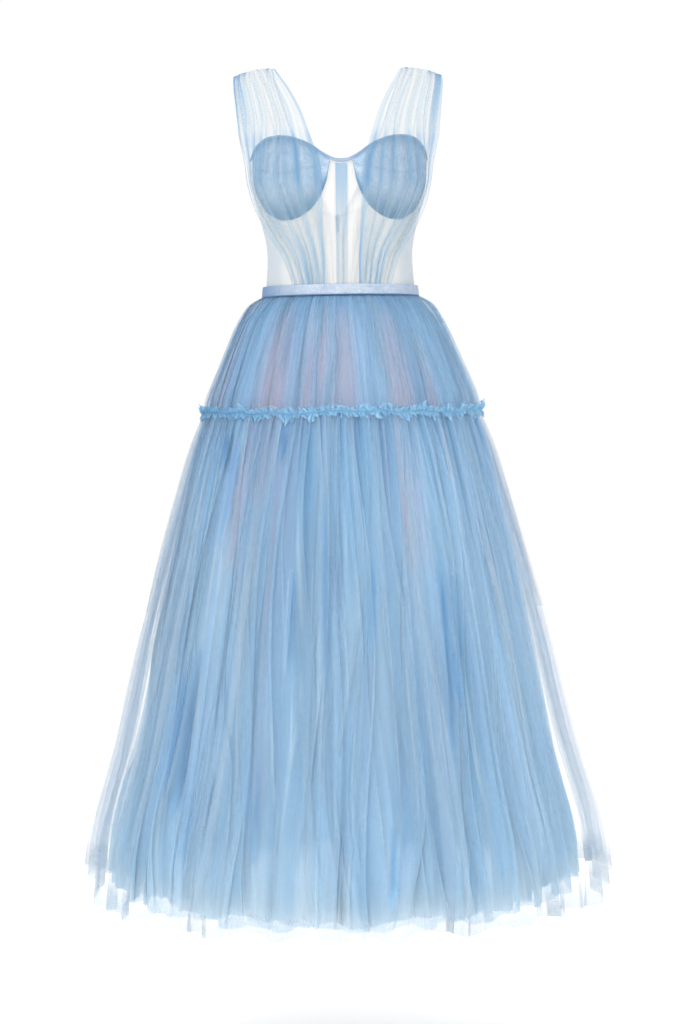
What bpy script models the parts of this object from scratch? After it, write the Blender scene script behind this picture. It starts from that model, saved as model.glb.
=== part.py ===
"""Ankle-length tulle dress with a sheer corset bodice, worn form, with nobody in it.

The frame is in metres. The front faces -Y, +X is to the right of that front, and +Z is up.
The origin is midway between the two shoulder straps, at the height of their crests.
Every piece of cloth is a thin closed wall on one of two general forms:
the bodice form (an oval section for each height, with a dome for each cup) and
the skirt form (an oval section for each height, with a wave for each fold).
"""

import math

import bmesh
import bpy
import numpy as np

# Cloth walls and gaps
SEAM_GAP = 0.0003
TULLE = 0.0012
MESH = 0.0012
CUP_PADDING = 0.0030
LAYER_GAP = 0.0009
BELT_THICKNESS = 0.0030

# Heights on the bodice, measured from the shoulder crest
BELT_TOP = -0.3500
BELT_BOTTOM = -0.3660
UNDERARM = -0.1530
BACK_NECK = -0.2280
CENTRE_DIP = -0.1640

# Widths
CENTRE_STRIP_WIDTH = 0.0180
ZIP_WIDTH = 0.0100
ZIP_END = -0.5400
ZIP_OPENING = 0.0124
BINDING_HEIGHT_CENTRE = 0.0080
BINDING_HEIGHT_CUP = 0.0040

# Cup dome of the bodice form
DOME_RISE = 0.0200
DOME_ANGLE = math.radians(35.0)
DOME_ANGLE_REACH = math.radians(44.0)
DOME_HEIGHT = -0.1880
DOME_HEIGHT_REACH = 0.0900

# Skirt
WAIST_SEAM = BELT_BOTTOM - SEAM_GAP
TIER_SEAM = -0.5490
HEM = -1.3000
HEM_SIDE_RISE = 0.0300
HEM_SIDE_REACH = math.radians(15.0)
HEM_SCALLOP = 0.0070
UNDERSKIRT_HEM = -1.2560
LINING_HEM = -1.1500
UPPER_FOLDS = 40
LOWER_FOLDS = 44
RUFFLE_WAVES = 28
UNDERSKIRT_FOLDS = 14
RUFFLE_HEIGHT = 0.0200
RUFFLE_HALF_WIDTH = 0.2190
RUFFLE_DEPTH = 0.2050
RUFFLE_FLARE = 0.30
RUFFLE_CLEARANCE = 0.0050
RUFFLE_WAVE = 0.0045
RUFFLE_WANDER = 0.0015
STRAP_FOLDS = 5
STRAP_BULGE = 0.0220
STRAP_FOLD_DEPTH = 0.0024

# Slider and pull tab of the zip
SLIDER_GAP = 0.0004
SLIDER_SIZE = (0.0070, 0.0026, 0.0090)
EAR_THICKNESS = 0.0010
EAR_GAP = 0.0036
EAR_RADIUS = 0.0016
PIN_RADIUS = 0.0006
PIN_STANDOFF = 0.0022
KNUCKLE_RADIUS = 0.0014
KNUCKLE_BORE = 0.0010
KNUCKLE_LENGTH = 0.0028
TAB_WIDTH = 0.0060
TAB_LENGTH = 0.0240
TAB_THICKNESS = 0.0012
TAB_NECK = 0.0045
TAB_LAP = 0.0004

BODICE_COLUMNS = ("z", "half_width", "front_depth", "back_depth")
BODICE = (
    (-0.0500, 0.1600, 0.0700, 0.0700),
    (-0.0900, 0.1560, 0.0880, 0.0880),
    (-0.1200, 0.1460, 0.0960, 0.0940),
    (-0.1500, 0.1415, 0.1010, 0.0950),
    (-0.1900, 0.1385, 0.1020, 0.0940),
    (-0.2200, 0.1325, 0.0990, 0.0910),
    (-0.2560, 0.1225, 0.0935, 0.0870),
    (-0.2940, 0.1155, 0.0880, 0.0820),
    (-0.3320, 0.1165, 0.0885, 0.0830),
    (-0.3660, 0.1195, 0.0915, 0.0860),
)

# Top edge of the cups and of the front base, from the centre front to the side seam
NECKLINE_COLUMNS = ("x", "z")
NECKLINE = (
    (0.0000, -0.1640),
    (0.0120, -0.1625),
    (0.0200, -0.1560),
    (0.0290, -0.1480),
    (0.0430, -0.1390),
    (0.0680, -0.1265),
    (0.0950, -0.1215),
    (0.1170, -0.1265),
    (0.1300, -0.1380),
    (0.1370, -0.1490),
    (0.1415, -0.1530),
)

# Grid lines of the front bodice, in degrees from the centre front. A cup spans some of them
FRONT_LINES = (0, 3.5, 7.4, 11, 15, 20, 26, 32, 38, 44, 50, 56, 61, 66, 70.3, 75, 82, 90)
CUP_FIRST_LINE = 2
CUP_LAST_LINE = 14
FRONT_ROWS = (0.0, 0.11, 0.25, 0.42, 0.55, 0.66, 0.77, 0.88, 1.0)
BASE_DOME_SHARE = 0.90

# Lower edge of a cup, from its inner corner to its outer corner
CUP_EDGE_COLUMNS = ("x", "z")
CUP_EDGE = (
    (0.0185, -0.1640),
    (0.0215, -0.1830),
    (0.0270, -0.2010),
    (0.0390, -0.2230),
    (0.0560, -0.2390),
    (0.0800, -0.2475),
    (0.1020, -0.2410),
    (0.1200, -0.2200),
    (0.1300, -0.1920),
    (0.1345, -0.1600),
)

# Inner and outer edges of the gathered tulle, from the shoulder seam to the waist
STRAP_COLUMNS = ("z_inner", "x_inner", "y_inner", "z_outer", "x_outer", "y_outer", "on_form", "spread")
FRONT_STRAP = (
    (-0.0045, 0.1030, 0.0000, -0.0165, 0.1640, 0.0000, 0.0, 1.10),
    (-0.0080, 0.0990, 0.0200, -0.0205, 0.1650, 0.0130, 0.0, 1.10),
    (-0.0205, 0.0920, 0.0410, -0.0305, 0.1655, 0.0270, 0.0, 1.10),
    (-0.0450, 0.0770, 0.0620, -0.0520, 0.1635, 0.0380, 0.0, 1.10),
    (-0.0800, 0.0600, 0.0830, -0.0820, 0.1600, 0.0420, 0.1, 1.10),
    (-0.1120, 0.0475, 0.0970, -0.1120, 0.1535, 0.0380, 0.7, 1.10),
    (-0.1360, 0.0390, 0.1020, -0.1360, 0.1470, 0.0300, 1.0, 1.07),
    (-0.1600, 0.0315, 0.1050, -0.1580, 0.1420, 0.0180, 1.0, 1.025),
    (-0.1900, 0.0285, 0.1050, -0.1900, 0.1375, 0.0120, 1.0, 1.00),
    (-0.2240, 0.0275, 0.1000, -0.2240, 0.1285, 0.0200, 1.0, 1.00),
    (-0.2600, 0.0270, 0.0930, -0.2600, 0.1120, 0.0300, 1.0, 1.00),
    (-0.2980, 0.0265, 0.0880, -0.2980, 0.0920, 0.0500, 1.0, 1.00),
    (-0.3440, 0.0265, 0.0880, -0.3440, 0.0770, 0.0600, 1.0, 1.00),
    (-0.3655, 0.0265, 0.0900, -0.3655, 0.0730, 0.0700, 1.0, 1.00),
)
BACK_STRAP = (
    (-0.0045, 0.1030, 0.0000, -0.0165, 0.1640, 0.0000, 0.0, 1.10),
    (-0.0080, 0.1010, 0.0200, -0.0205, 0.1650, 0.0130, 0.0, 1.10),
    (-0.0205, 0.0970, 0.0420, -0.0305, 0.1655, 0.0270, 0.0, 1.10),
    (-0.0450, 0.0880, 0.0640, -0.0520, 0.1635, 0.0380, 0.0, 1.10),
    (-0.0800, 0.0760, 0.0800, -0.0820, 0.1600, 0.0420, 0.1, 1.10),
    (-0.1120, 0.0640, 0.0880, -0.1120, 0.1535, 0.0380, 0.7, 1.10),
    (-0.1360, 0.0540, 0.0900, -0.1360, 0.1470, 0.0300, 1.0, 1.07),
    (-0.1600, 0.0430, 0.0920, -0.1580, 0.1420, 0.0180, 1.0, 1.025),
    (-0.1900, 0.0290, 0.0930, -0.1900, 0.1375, 0.0120, 1.0, 1.00),
    (-0.2240, 0.0120, 0.0910, -0.2240, 0.1285, 0.0200, 1.0, 1.00),
    (-0.2600, 0.0070, 0.0870, -0.2600, 0.1120, 0.0300, 1.0, 1.00),
    (-0.2980, 0.0068, 0.0820, -0.2980, 0.0900, 0.0500, 1.0, 1.00),
    (-0.3440, 0.0068, 0.0830, -0.3440, 0.0710, 0.0600, 1.0, 1.00),
    (-0.3655, 0.0068, 0.0860, -0.3655, 0.0660, 0.0700, 1.0, 1.00),
)

SKIRT_COLUMNS = ("z", "half_width", "depth", "fold")
UPPER_TIER = (
    (-0.3663, 0.1310, 0.1000, 0.0014),
    (-0.3800, 0.1460, 0.1160, 0.0022),
    (-0.4030, 0.1610, 0.1340, 0.0028),
    (-0.4350, 0.1760, 0.1530, 0.0034),
    (-0.4670, 0.1895, 0.1690, 0.0038),
    (-0.4990, 0.2030, 0.1850, 0.0040),
    (-0.5310, 0.2155, 0.2000, 0.0034),
    (-0.5490, 0.2190, 0.2050, 0.0024),
)
LOWER_TIER = (
    (-0.5490, 0.2190, 0.2050, 0.0024),
    (-0.5950, 0.2360, 0.2230, 0.0050),
    (-0.6910, 0.2640, 0.2530, 0.0075),
    (-0.8830, 0.3145, 0.3040, 0.0100),
    (-1.0750, 0.3600, 0.3510, 0.0120),
    (-1.2350, 0.4040, 0.3920, 0.0135),
    (-1.3050, 0.4110, 0.3990, 0.0140),
)
UNDERSKIRT = (
    (-0.3663, 0.1212, 0.0917, 0.0004),
    (-0.3800, 0.1330, 0.1050, 0.0010),
    (-0.4030, 0.1510, 0.1250, 0.0015),
    (-0.4350, 0.1660, 0.1430, 0.0020),
    (-0.4990, 0.1890, 0.1720, 0.0030),
    (-0.5490, 0.2040, 0.1910, 0.0036),
    (-0.6270, 0.2270, 0.2150, 0.0050),
    (-0.7870, 0.2600, 0.2490, 0.0060),
    (-0.9790, 0.2960, 0.2850, 0.0075),
    (-1.1710, 0.3320, 0.3200, 0.0085),
    (-1.2600, 0.3480, 0.3360, 0.0090),
)
LINING = (
    (-0.3663, 0.1180, 0.0885, 0.0),
    (-0.3800, 0.1280, 0.0995, 0.0),
    (-0.4030, 0.1430, 0.1170, 0.0),
    (-0.4350, 0.1550, 0.1320, 0.0),
    (-0.4990, 0.1710, 0.1530, 0.0),
    (-0.6000, 0.1880, 0.1720, 0.0),
    (-0.8000, 0.2100, 0.1950, 0.0),
    (-1.1500, 0.2450, 0.2300, 0.0),
)

COLOURS_COLUMNS = ("material", "red", "green", "blue", "roughness", "metallic")
COLOURS = (
    ("blue_tulle", 0.36, 0.55, 0.76, 0.80, 0.0),
    ("pale_tulle", 0.62, 0.76, 0.88, 0.80, 0.0),
    ("sheer_mesh", 0.84, 0.87, 0.88, 0.75, 0.0),
    ("glitter_cloth", 0.38, 0.54, 0.68, 0.45, 0.1),
    ("nude_lining", 0.74, 0.62, 0.62, 0.70, 0.0),
    ("zip_tape", 0.50, 0.64, 0.76, 0.60, 0.0),
    ("zip_metal", 0.60, 0.62, 0.65, 0.30, 0.9),
)


def column(table, names, name):
    """One named column of a table as an array."""
    return np.array([row[names.index(name)] for row in table])


def smooth_read(positions, values, at):
    """Cubic reading of a column through its rows, with the slope of each row's neighbours."""
    positions = np.asarray(positions, dtype=float)
    values = np.asarray(values, dtype=float)
    order = np.argsort(positions)
    positions = positions[order]
    values = values[order]
    slopes = np.gradient(values, positions)
    at = np.clip(np.asarray(at, dtype=float), positions[0], positions[-1])
    index = np.clip(np.searchsorted(positions, at) - 1, 0, len(positions) - 2)
    step = positions[index + 1] - positions[index]
    s = (at - positions[index]) / step
    start = (1 + 2 * s) * (1 - s) ** 2 * values[index] + s * (1 - s) ** 2 * step * slopes[index]
    end = s * s * (3 - 2 * s) * values[index + 1] + s * s * (s - 1) * step * slopes[index + 1]
    return start + end


def ease(value, low, high):
    """0 below low, 1 above high, with a smooth rise between them."""
    s = np.clip((np.asarray(value) - low) / (high - low), 0.0, 1.0)
    return s * s * (3 - 2 * s)


def bodice_section(z, name):
    """Half width or depth of the bodice form at a height."""
    return smooth_read(column(BODICE, BODICE_COLUMNS, "z"), column(BODICE, BODICE_COLUMNS, name), z)


def dome(angle, z):
    """Rise of the two cup domes above the oval section, 0 away from them."""
    total = np.zeros(np.broadcast(angle, z).shape)
    for side in (-1, 1):
        across = (angle - side * DOME_ANGLE) / DOME_ANGLE_REACH
        along = (z - DOME_HEIGHT) / DOME_HEIGHT_REACH
        inside = np.clip(1 - across**2 - along**2, 0.0, None)
        total = total + DOME_RISE * inside**1.5
    return total


def bodice_form(angle, z, dome_share=1.0):
    """A point of the bodice form. The angle is 0 at the centre front and turns towards +X."""
    angle, z = np.broadcast_arrays(np.asarray(angle, dtype=float), np.asarray(z, dtype=float))
    width = bodice_section(z, "half_width")
    front = bodice_section(z, "front_depth")
    back = bodice_section(z, "back_depth")
    depth = np.where(np.cos(angle) > 0, front, back)
    rise = dome_share * dome(angle, z)
    x = (width + 0.3 * rise) * np.sin(angle)
    y = -(depth + rise) * np.cos(angle)
    return np.stack([x, y, z], axis=-1)


def angle_of_x(x, z):
    """Angle at which the bodice form has this distance from the centre plane, on the front."""
    width = bodice_section(z, "half_width")
    return np.arcsin(np.clip(np.asarray(x) / width, -0.9999, 0.9999))


def unit(vectors):
    return vectors / np.linalg.norm(vectors, axis=-1, keepdims=True)


def normals_of(surface, u, v):
    """Unit normals of surface(u, v) from central differences."""
    h = 1e-4
    across = surface(u + h, v) - surface(u - h, v)
    along = surface(u, v + h) - surface(u, v - h)
    return unit(np.cross(across, along))


def material(name):
    made = bpy.data.materials.get(name)
    if made:
        return made
    row = next(row for row in COLOURS if row[0] == name)
    made = bpy.data.materials.new(name)
    made.use_nodes = True
    shader = made.node_tree.nodes["Principled BSDF"]
    shader.inputs["Base Color"].default_value = (row[1], row[2], row[3], 1.0)
    shader.inputs["Roughness"].default_value = row[4]
    shader.inputs["Metallic"].default_value = row[5]
    return made


def link(name, mesh, slot):
    mesh.materials.append(material(slot))
    mesh.shade_smooth()
    mesh.set_sharp_from_angle(angle=math.radians(50.0))
    made = bpy.data.objects.new(name, mesh)
    bpy.context.scene.collection.objects.link(made)
    return made


def wall(name, surface, u, v, inner, outer, slot, turn=1):
    """A closed wall of cloth on surface(u, v): one face moved out, one moved in, and its rim.

    u and v are the grid lines. inner and outer are distances along the normal, each a number
    or an array on the grid. turn is -1 where the surface's own normal points into the dress.
    """
    uu, vv = np.meshgrid(u, v, indexing="ij")
    middle = surface(uu, vv)
    normal = turn * normals_of(surface, uu, vv)
    faces_out = middle + normal * np.broadcast_to(outer, uu.shape)[..., None]
    faces_in = middle + normal * np.broadcast_to(inner, uu.shape)[..., None]
    bm = bmesh.new()
    out = [[bm.verts.new(point) for point in line] for line in faces_out]
    back = [[bm.verts.new(point) for point in line] for line in faces_in]
    across = len(u) - 1
    along = len(v) - 1
    for i in range(across):
        for j in range(along):
            bm.faces.new((out[i][j], out[i + 1][j], out[i + 1][j + 1], out[i][j + 1]))
            bm.faces.new((back[i][j + 1], back[i + 1][j + 1], back[i + 1][j], back[i][j]))
    for i in range(across):
        bm.faces.new((back[i][0], back[i + 1][0], out[i + 1][0], out[i][0]))
        bm.faces.new((out[i][along], out[i + 1][along], back[i + 1][along], back[i][along]))
    for j in range(along):
        bm.faces.new((out[0][j], out[0][j + 1], back[0][j + 1], back[0][j]))
        bm.faces.new((back[across][j], back[across][j + 1], out[across][j + 1], out[across][j]))
    if turn < 0:
        bmesh.ops.reverse_faces(bm, faces=bm.faces[:])
    mesh = bpy.data.meshes.new(name)
    bm.to_mesh(mesh)
    bm.free()
    return link(name, mesh, slot)


def mirrored(surface, side):
    """The same surface on the other side of the centre plane when side is -1."""

    def flipped(u, v):
        points = surface(u, v)
        points[..., 0] *= side
        return points

    return flipped


# Bodice

def neckline(x):
    table_x = column(NECKLINE, NECKLINE_COLUMNS, "x")
    table_z = column(NECKLINE, NECKLINE_COLUMNS, "z")
    return smooth_read(table_x, table_z, np.abs(x))


def neckline_at_angle(angle):
    """Height of the neckline where a column of this angle meets it, found in a few steps."""
    z = np.full(np.shape(angle), -0.14)
    for _ in range(12):
        z = neckline(bodice_section(z, "half_width") * np.sin(angle))
    return z


def front_lines():
    """Angles of the front grid lines, the first and last just clear of their seams."""
    angles = np.radians(FRONT_LINES)
    angles[0] = SEAM_GAP / 2 / 0.10
    angles[-1] = math.pi / 2 - SEAM_GAP / 2 / 0.14
    return angles


def base_front(side):
    """Front base mesh: u is the angle from centre front to side seam, v runs from waist to neck."""

    def surface(angle, v):
        top = neckline_at_angle(angle)
        return bodice_form(angle, BELT_BOTTOM + (top - BELT_BOTTOM) * v, BASE_DOME_SHARE)

    name = "base_front_right" if side > 0 else "base_front_left"
    v = np.array(FRONT_ROWS)
    wall(name, mirrored(surface, side), front_lines(), v, -MESH, 0.0, "sheer_mesh", side)


def base_back(side):
    """Back base mesh: u runs from the side seam to the zip, v from waist to the V back neck."""

    def surface(u, v):
        share = ease(u, 0.0, 1.0)
        top = UNDERARM + (BACK_NECK - UNDERARM) * (0.35 * share + 0.65 * u)
        z = BELT_BOTTOM + (top - BELT_BOTTOM) * v
        edge = math.pi - (ZIP_WIDTH / 2 + SEAM_GAP) / bodice_section(z, "half_width")
        start = math.pi / 2 + SEAM_GAP / 2 / 0.14
        return bodice_form(start + (edge - start) * u, z)

    name = "base_back_right" if side > 0 else "base_back_left"
    u = np.linspace(0.0, 1.0, 9)
    v = np.linspace(0.0, 1.0, 7)
    wall(name, mirrored(surface, side), u, v, -MESH, 0.0, "sheer_mesh", side)


def cup(side):
    """Padded cup on the base: u is the angle on the base's own lines, v from lower to top edge."""
    edge_x = column(CUP_EDGE, CUP_EDGE_COLUMNS, "x")
    edge_z = column(CUP_EDGE, CUP_EDGE_COLUMNS, "z")
    edge_angle = angle_of_x(edge_x, edge_z)

    def surface(angle, v):
        low = smooth_read(edge_angle, edge_z, angle)
        high = neckline_at_angle(angle)
        return bodice_form(angle, low + (high - low) * v)

    u = front_lines()[CUP_FIRST_LINE:CUP_LAST_LINE + 1]
    v = np.linspace(0.0, 1.0, 8)
    name = "cup_right" if side > 0 else "cup_left"
    inner = LAYER_GAP + SEAM_GAP
    outer = LAYER_GAP + CUP_PADDING
    wall(name, mirrored(surface, side), u, v, inner, outer, "glitter_cloth", side)


def neck_binding():
    """Binding on the sweetheart edge, from side seam to side seam, over base and cups."""

    def surface(angle, v):
        low = neckline_at_angle(angle) + 2 * SEAM_GAP
        centre = 1 - ease(np.abs(angle), 0.10, 0.24)
        height = BINDING_HEIGHT_CUP + (BINDING_HEIGHT_CENTRE - BINDING_HEIGHT_CUP) * centre
        return bodice_form(angle, low + height * v)

    half = front_lines()[1:]
    u = np.concatenate([-half[::-1], [0.0], half])
    v = np.array([0.0, 1.0])
    wall("neck_binding", surface, u, v, -MESH, LAYER_GAP + CUP_PADDING, "glitter_cloth")


def centre_strip():
    """Blue strip over the centre-front seam, from the binding to the waist."""

    def surface(u, v):
        half = CENTRE_STRIP_WIDTH / 2
        z = BELT_BOTTOM + (CENTRE_DIP - BELT_BOTTOM) * v
        return bodice_form((2 * u - 1) * half / bodice_section(z, "half_width"), z)

    u = np.linspace(0.0, 1.0, 5)
    v = np.array(FRONT_ROWS)
    wall("centre_strip", surface, u, v, 2 * SEAM_GAP, 2 * SEAM_GAP + TULLE, "pale_tulle")


def strap_surface(table, facing):
    """Gathered tulle from shoulder seam to waist. facing is -1 at the front and 1 at the back.

    v runs from the shoulder to the waist, u from the inner to the outer edge. Above the
    underarm the cloth hangs free between its two edges, with a bulge outwards. Below it
    the cloth lies on the bodice form, just outside the cups.
    """
    rows = len(table)
    place = np.linspace(0.0, 1.0, rows)

    def read(name, v):
        return smooth_read(place, column(table, STRAP_COLUMNS, name), v)

    def surface(u, v):
        inner = np.stack([read("x_inner", v), facing * read("y_inner", v), read("z_inner", v)], axis=-1)
        outer = np.stack([read("x_outer", v), facing * read("y_outer", v), read("z_outer", v)], axis=-1)
        free = inner + (outer - inner) * u[..., None]
        bulge = 4 * u * (1 - u)
        down = ease(v, 0.0, 0.25)
        free[..., 1] += facing * bulge * STRAP_BULGE * down
        free[..., 2] += bulge * 0.004 * (1 - down)
        z = inner[..., 2] + (outer[..., 2] - inner[..., 2]) * u
        angle_in = angle_of_x(read("x_inner", v), z)
        spread = np.maximum(read("spread", v), 1.0)
        angle_out = angle_of_x(read("x_outer", v) / spread, z)
        angle = angle_in + (angle_out - angle_in) * u
        if facing > 0:
            angle = math.pi - angle
        laid = bodice_form(angle, np.clip(z, -0.3660, -0.0500))
        laid[..., :2] *= (1 + (spread - 1) * u**2)[..., None]
        out = unit(np.stack([laid[..., 0], laid[..., 1], np.zeros_like(z)], axis=-1))
        on_base = LAYER_GAP + TULLE / 2
        over_cup = 2 * LAYER_GAP + CUP_PADDING + TULLE
        above = ease(z, -0.315, -0.262) if facing < 0 else 0.15 * ease(z, -0.344, -0.300)
        lift = on_base + (over_cup - on_base) * above
        folds = 0.5 - 0.5 * np.cos(2 * math.pi * STRAP_FOLDS * u)
        size = STRAP_FOLD_DEPTH * (1 - ease(-z, 0.305, 0.343))
        laid = laid + out * (lift + folds * size)[..., None]
        flat = np.stack([np.zeros_like(z), np.full_like(z, facing), np.full_like(z, 0.6)], axis=-1)
        free = free + unit(flat) * (folds * STRAP_FOLD_DEPTH)[..., None]
        share = np.clip(read("on_form", v), 0.0, 1.0)[..., None]
        return free + (laid - free) * share

    return surface


def overlay(side, facing):
    table = FRONT_STRAP if facing < 0 else BACK_STRAP
    surface = strap_surface(table, facing)

    def with_seam(u, v):
        points = surface(u, v)
        points[..., 1] += facing * SEAM_GAP / 2
        return points

    u = np.linspace(0.0, 1.0, 2 * STRAP_FOLDS + 1)
    v = np.linspace(0.0, 1.0, 15 if facing < 0 else 13)
    part = "front" if facing < 0 else "back"
    name = f"overlay_{part}_right" if side > 0 else f"overlay_{part}_left"
    turn = side * facing
    wall(name, mirrored(with_seam, side), u, v, -TULLE / 2, TULLE / 2, "pale_tulle", turn)


def belt():
    """Narrow belt round the waist, over the tulle, open at the zip."""
    opening = (ZIP_WIDTH / 2 + SEAM_GAP) / 0.118

    def surface(u, v):
        angle = (math.pi - opening) * (2 * u - 1)
        return bodice_form(angle, BELT_BOTTOM + (BELT_TOP - BELT_BOTTOM) * v)

    u = np.linspace(0.0, 1.0, 45)
    v = np.array([0.0, 1.0])
    under = LAYER_GAP + TULLE + 2 * SEAM_GAP + 0.0003
    wall("belt", surface, u, v, under, under + BELT_THICKNESS, "glitter_cloth")


# Skirt

def fold_phase(angle, folds, seed):
    """Phase of the folds round the skirt. It is even at the side seams and uneven between."""
    uneven = 0.9 * np.sin(2 * angle) + 0.7 * np.cos(3 * angle) - 0.6 * np.sin(6 * angle)
    finer = 0.5 * np.cos((9 + 2 * seed) * angle) + 0.4 * np.sin((14 + 2 * seed) * angle)
    return folds * angle + (uneven + finer)


def fold_strength(angle, seed):
    """Share of the fold depth at each place round the skirt, from shallow to deep."""
    return 0.78 + 0.16 * np.sin(5 * angle + seed) + 0.12 * np.sin(13 * angle + 2.0 * seed)


def fold_angles(start, stop, folds, seed, per_fold):
    """Angles of the grid lines, so that each fold has a crest and a valley on a line."""
    fine = np.linspace(start, stop, 8001)
    phase = np.maximum.accumulate(fold_phase(fine, folds, seed))
    lines = round((phase[-1] - phase[0]) / (2 * math.pi) * per_fold)
    return np.interp(np.linspace(phase[0], phase[-1], lines + 1), phase, fine)


def skirt_point(table, angle, z, folds, seed, extra=0.0):
    """A point of the skirt form: oval section, moved out and in by the folds."""
    heights = column(table, SKIRT_COLUMNS, "z")
    width = smooth_read(heights, column(table, SKIRT_COLUMNS, "half_width"), z)
    depth = smooth_read(heights, column(table, SKIRT_COLUMNS, "depth"), z)
    fold = smooth_read(heights, column(table, SKIRT_COLUMNS, "fold"), z)
    wave = fold * np.cos(fold_phase(angle, folds, seed)) * fold_strength(angle, seed) if folds else 0.0
    move = wave + extra
    return np.stack([(width + move) * np.sin(angle), -(depth + move) * np.cos(angle), z], axis=-1)


def side_share(angle):
    """1 at the two side seams, falling to 0 within a short way round."""
    from_side = np.abs(np.abs(np.angle(np.exp(1j * angle))) - math.pi / 2)
    return np.exp(-((from_side / HEM_SIDE_REACH) ** 2))


def skirt_wall(name, table, start, stop, top, hem, folds, seed, per_fold, rows, slot,
               scallop=0.0, side_rise=0.0):
    """One panel of a skirt layer, from angle start to angle stop and from top to hem."""

    def surface(angle, v):
        low = hem - 0.5 * scallop * np.cos(fold_phase(angle, folds, seed))
        low = low + 0.6 * scallop * np.sin(7 * angle + seed)
        low = low + side_rise * side_share(angle)
        return skirt_point(table, angle, low + (top - low) * v, folds, seed)

    if folds:
        angles = fold_angles(start, stop, folds, seed, per_fold)
    else:
        angles = np.linspace(start, stop, per_fold + 1)
    wall(name, surface, angles, rows, -TULLE / 2, TULLE / 2, slot)


def rows_by_height(heights, top, hem):
    """Grid rows (0 at the hem, 1 at the top) for a list of heights."""
    return np.array([(z - hem) / (top - hem) for z in sorted(heights)])


def side_gap(radius):
    return SEAM_GAP / 2 / radius


def upper_tier():
    heights = (TIER_SEAM + SEAM_GAP, -0.4750, -0.4100, WAIST_SEAM)
    rows = rows_by_height(heights, WAIST_SEAM, TIER_SEAM + SEAM_GAP)
    quarter = math.pi / 2
    gap = side_gap(0.125)
    zip_edge = ZIP_OPENING / 2 / UPPER_TIER[0][1]
    spans = (
        ("upper_tier_front", -quarter + gap, quarter - gap),
        ("upper_tier_back_right", quarter + gap, math.pi - zip_edge),
        ("upper_tier_back_left", -math.pi + zip_edge, -quarter - gap),
    )
    for name, start, stop in spans:
        skirt_wall(name, UPPER_TIER, start, stop, WAIST_SEAM, TIER_SEAM + SEAM_GAP,
                   UPPER_FOLDS, 1, 4, rows, "blue_tulle")


def lower_tier():
    top = TIER_SEAM
    heights = (HEM, -1.1500, -0.9500, -0.7600, -0.6200, TIER_SEAM)
    rows = rows_by_height(heights, top, HEM)
    quarter = math.pi / 2
    gap = side_gap(0.217)
    spans = (
        ("lower_tier_front", -quarter + gap, quarter - gap),
        ("lower_tier_back", quarter + gap, 3 * quarter - gap),
    )
    for name, start, stop in spans:
        skirt_wall(name, LOWER_TIER, start, stop, top, HEM, LOWER_FOLDS, 2, 4, rows,
                   "blue_tulle", HEM_SCALLOP, HEM_SIDE_RISE)


def underskirt():
    heights = (UNDERSKIRT_HEM, -1.0500, -0.8200, -0.6200, -0.4900, -0.4100, WAIST_SEAM)
    rows = rows_by_height(heights, WAIST_SEAM, UNDERSKIRT_HEM)
    quarter = math.pi / 2
    gap = side_gap(0.121)
    spans = (
        ("underskirt_front", -quarter + gap, quarter - gap),
        ("underskirt_back", quarter + gap, 3 * quarter - gap),
    )
    for name, start, stop in spans:
        skirt_wall(name, UNDERSKIRT, start, stop, WAIST_SEAM, UNDERSKIRT_HEM,
                   UNDERSKIRT_FOLDS, 3, 4, rows, "blue_tulle", 0.004)


def lining():
    heights = (LINING_HEM, -0.8000, -0.5600, -0.4500, -0.3900, WAIST_SEAM)
    rows = rows_by_height(heights, WAIST_SEAM, LINING_HEM)
    quarter = math.pi / 2
    gap = side_gap(0.118)
    spans = (
        ("lining_front", -quarter + gap, quarter - gap),
        ("lining_back", quarter + gap, 3 * quarter - gap),
    )
    for name, start, stop in spans:
        skirt_wall(name, LINING, start, stop, WAIST_SEAM, LINING_HEM, 0, 0, 14, rows, "nude_lining")


def ruffle():
    """Gathered heading over the tier seam: waves that grow towards its two free edges."""
    quarter = math.pi / 2
    gap = side_gap(0.222)
    spans = (
        ("ruffle_front", -quarter + gap, quarter - gap),
        ("ruffle_back", quarter + gap, 3 * quarter - gap),
    )

    def surface(angle, v):
        away = (2 * v - 1) ** 2
        phase = fold_phase(angle, RUFFLE_WAVES, 4)
        wave = 0.5 + 0.5 * np.cos(phase + 0.8 * (v - 0.5))
        out = RUFFLE_CLEARANCE + RUFFLE_WAVE * away * wave
        z = TIER_SEAM + RUFFLE_HEIGHT * (v - 0.5) + RUFFLE_WANDER * np.sin(5 * angle + 1.0)
        z = z + RUFFLE_WANDER * np.sin(11 * angle) * (2 * v - 1)
        width = RUFFLE_HALF_WIDTH + (TIER_SEAM - z) * RUFFLE_FLARE
        depth = RUFFLE_DEPTH + (TIER_SEAM - z) * RUFFLE_FLARE
        x = (width + out) * np.sin(angle)
        y = -(depth + out) * np.cos(angle)
        return np.stack([x, y, z], axis=-1)

    for name, start, stop in spans:
        angles = fold_angles(start, stop, RUFFLE_WAVES, 4, 4)
        wall(name, surface, angles, np.array([0.0, 0.5, 1.0]), -TULLE / 2, TULLE / 2, "blue_tulle")


# Zip

def zip_line(z):
    """Depth of the centre-back line that the zip tape follows, on the bodice then on the skirt."""
    on_bodice = bodice_section(np.maximum(z, BELT_BOTTOM), "back_depth")
    on_skirt = smooth_read(
        column(UPPER_TIER, SKIRT_COLUMNS, "z"), column(UPPER_TIER, SKIRT_COLUMNS, "depth"), z
    )
    return on_bodice + (on_skirt - on_bodice) * ease(-z, 0.3480, 0.3650)


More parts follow.
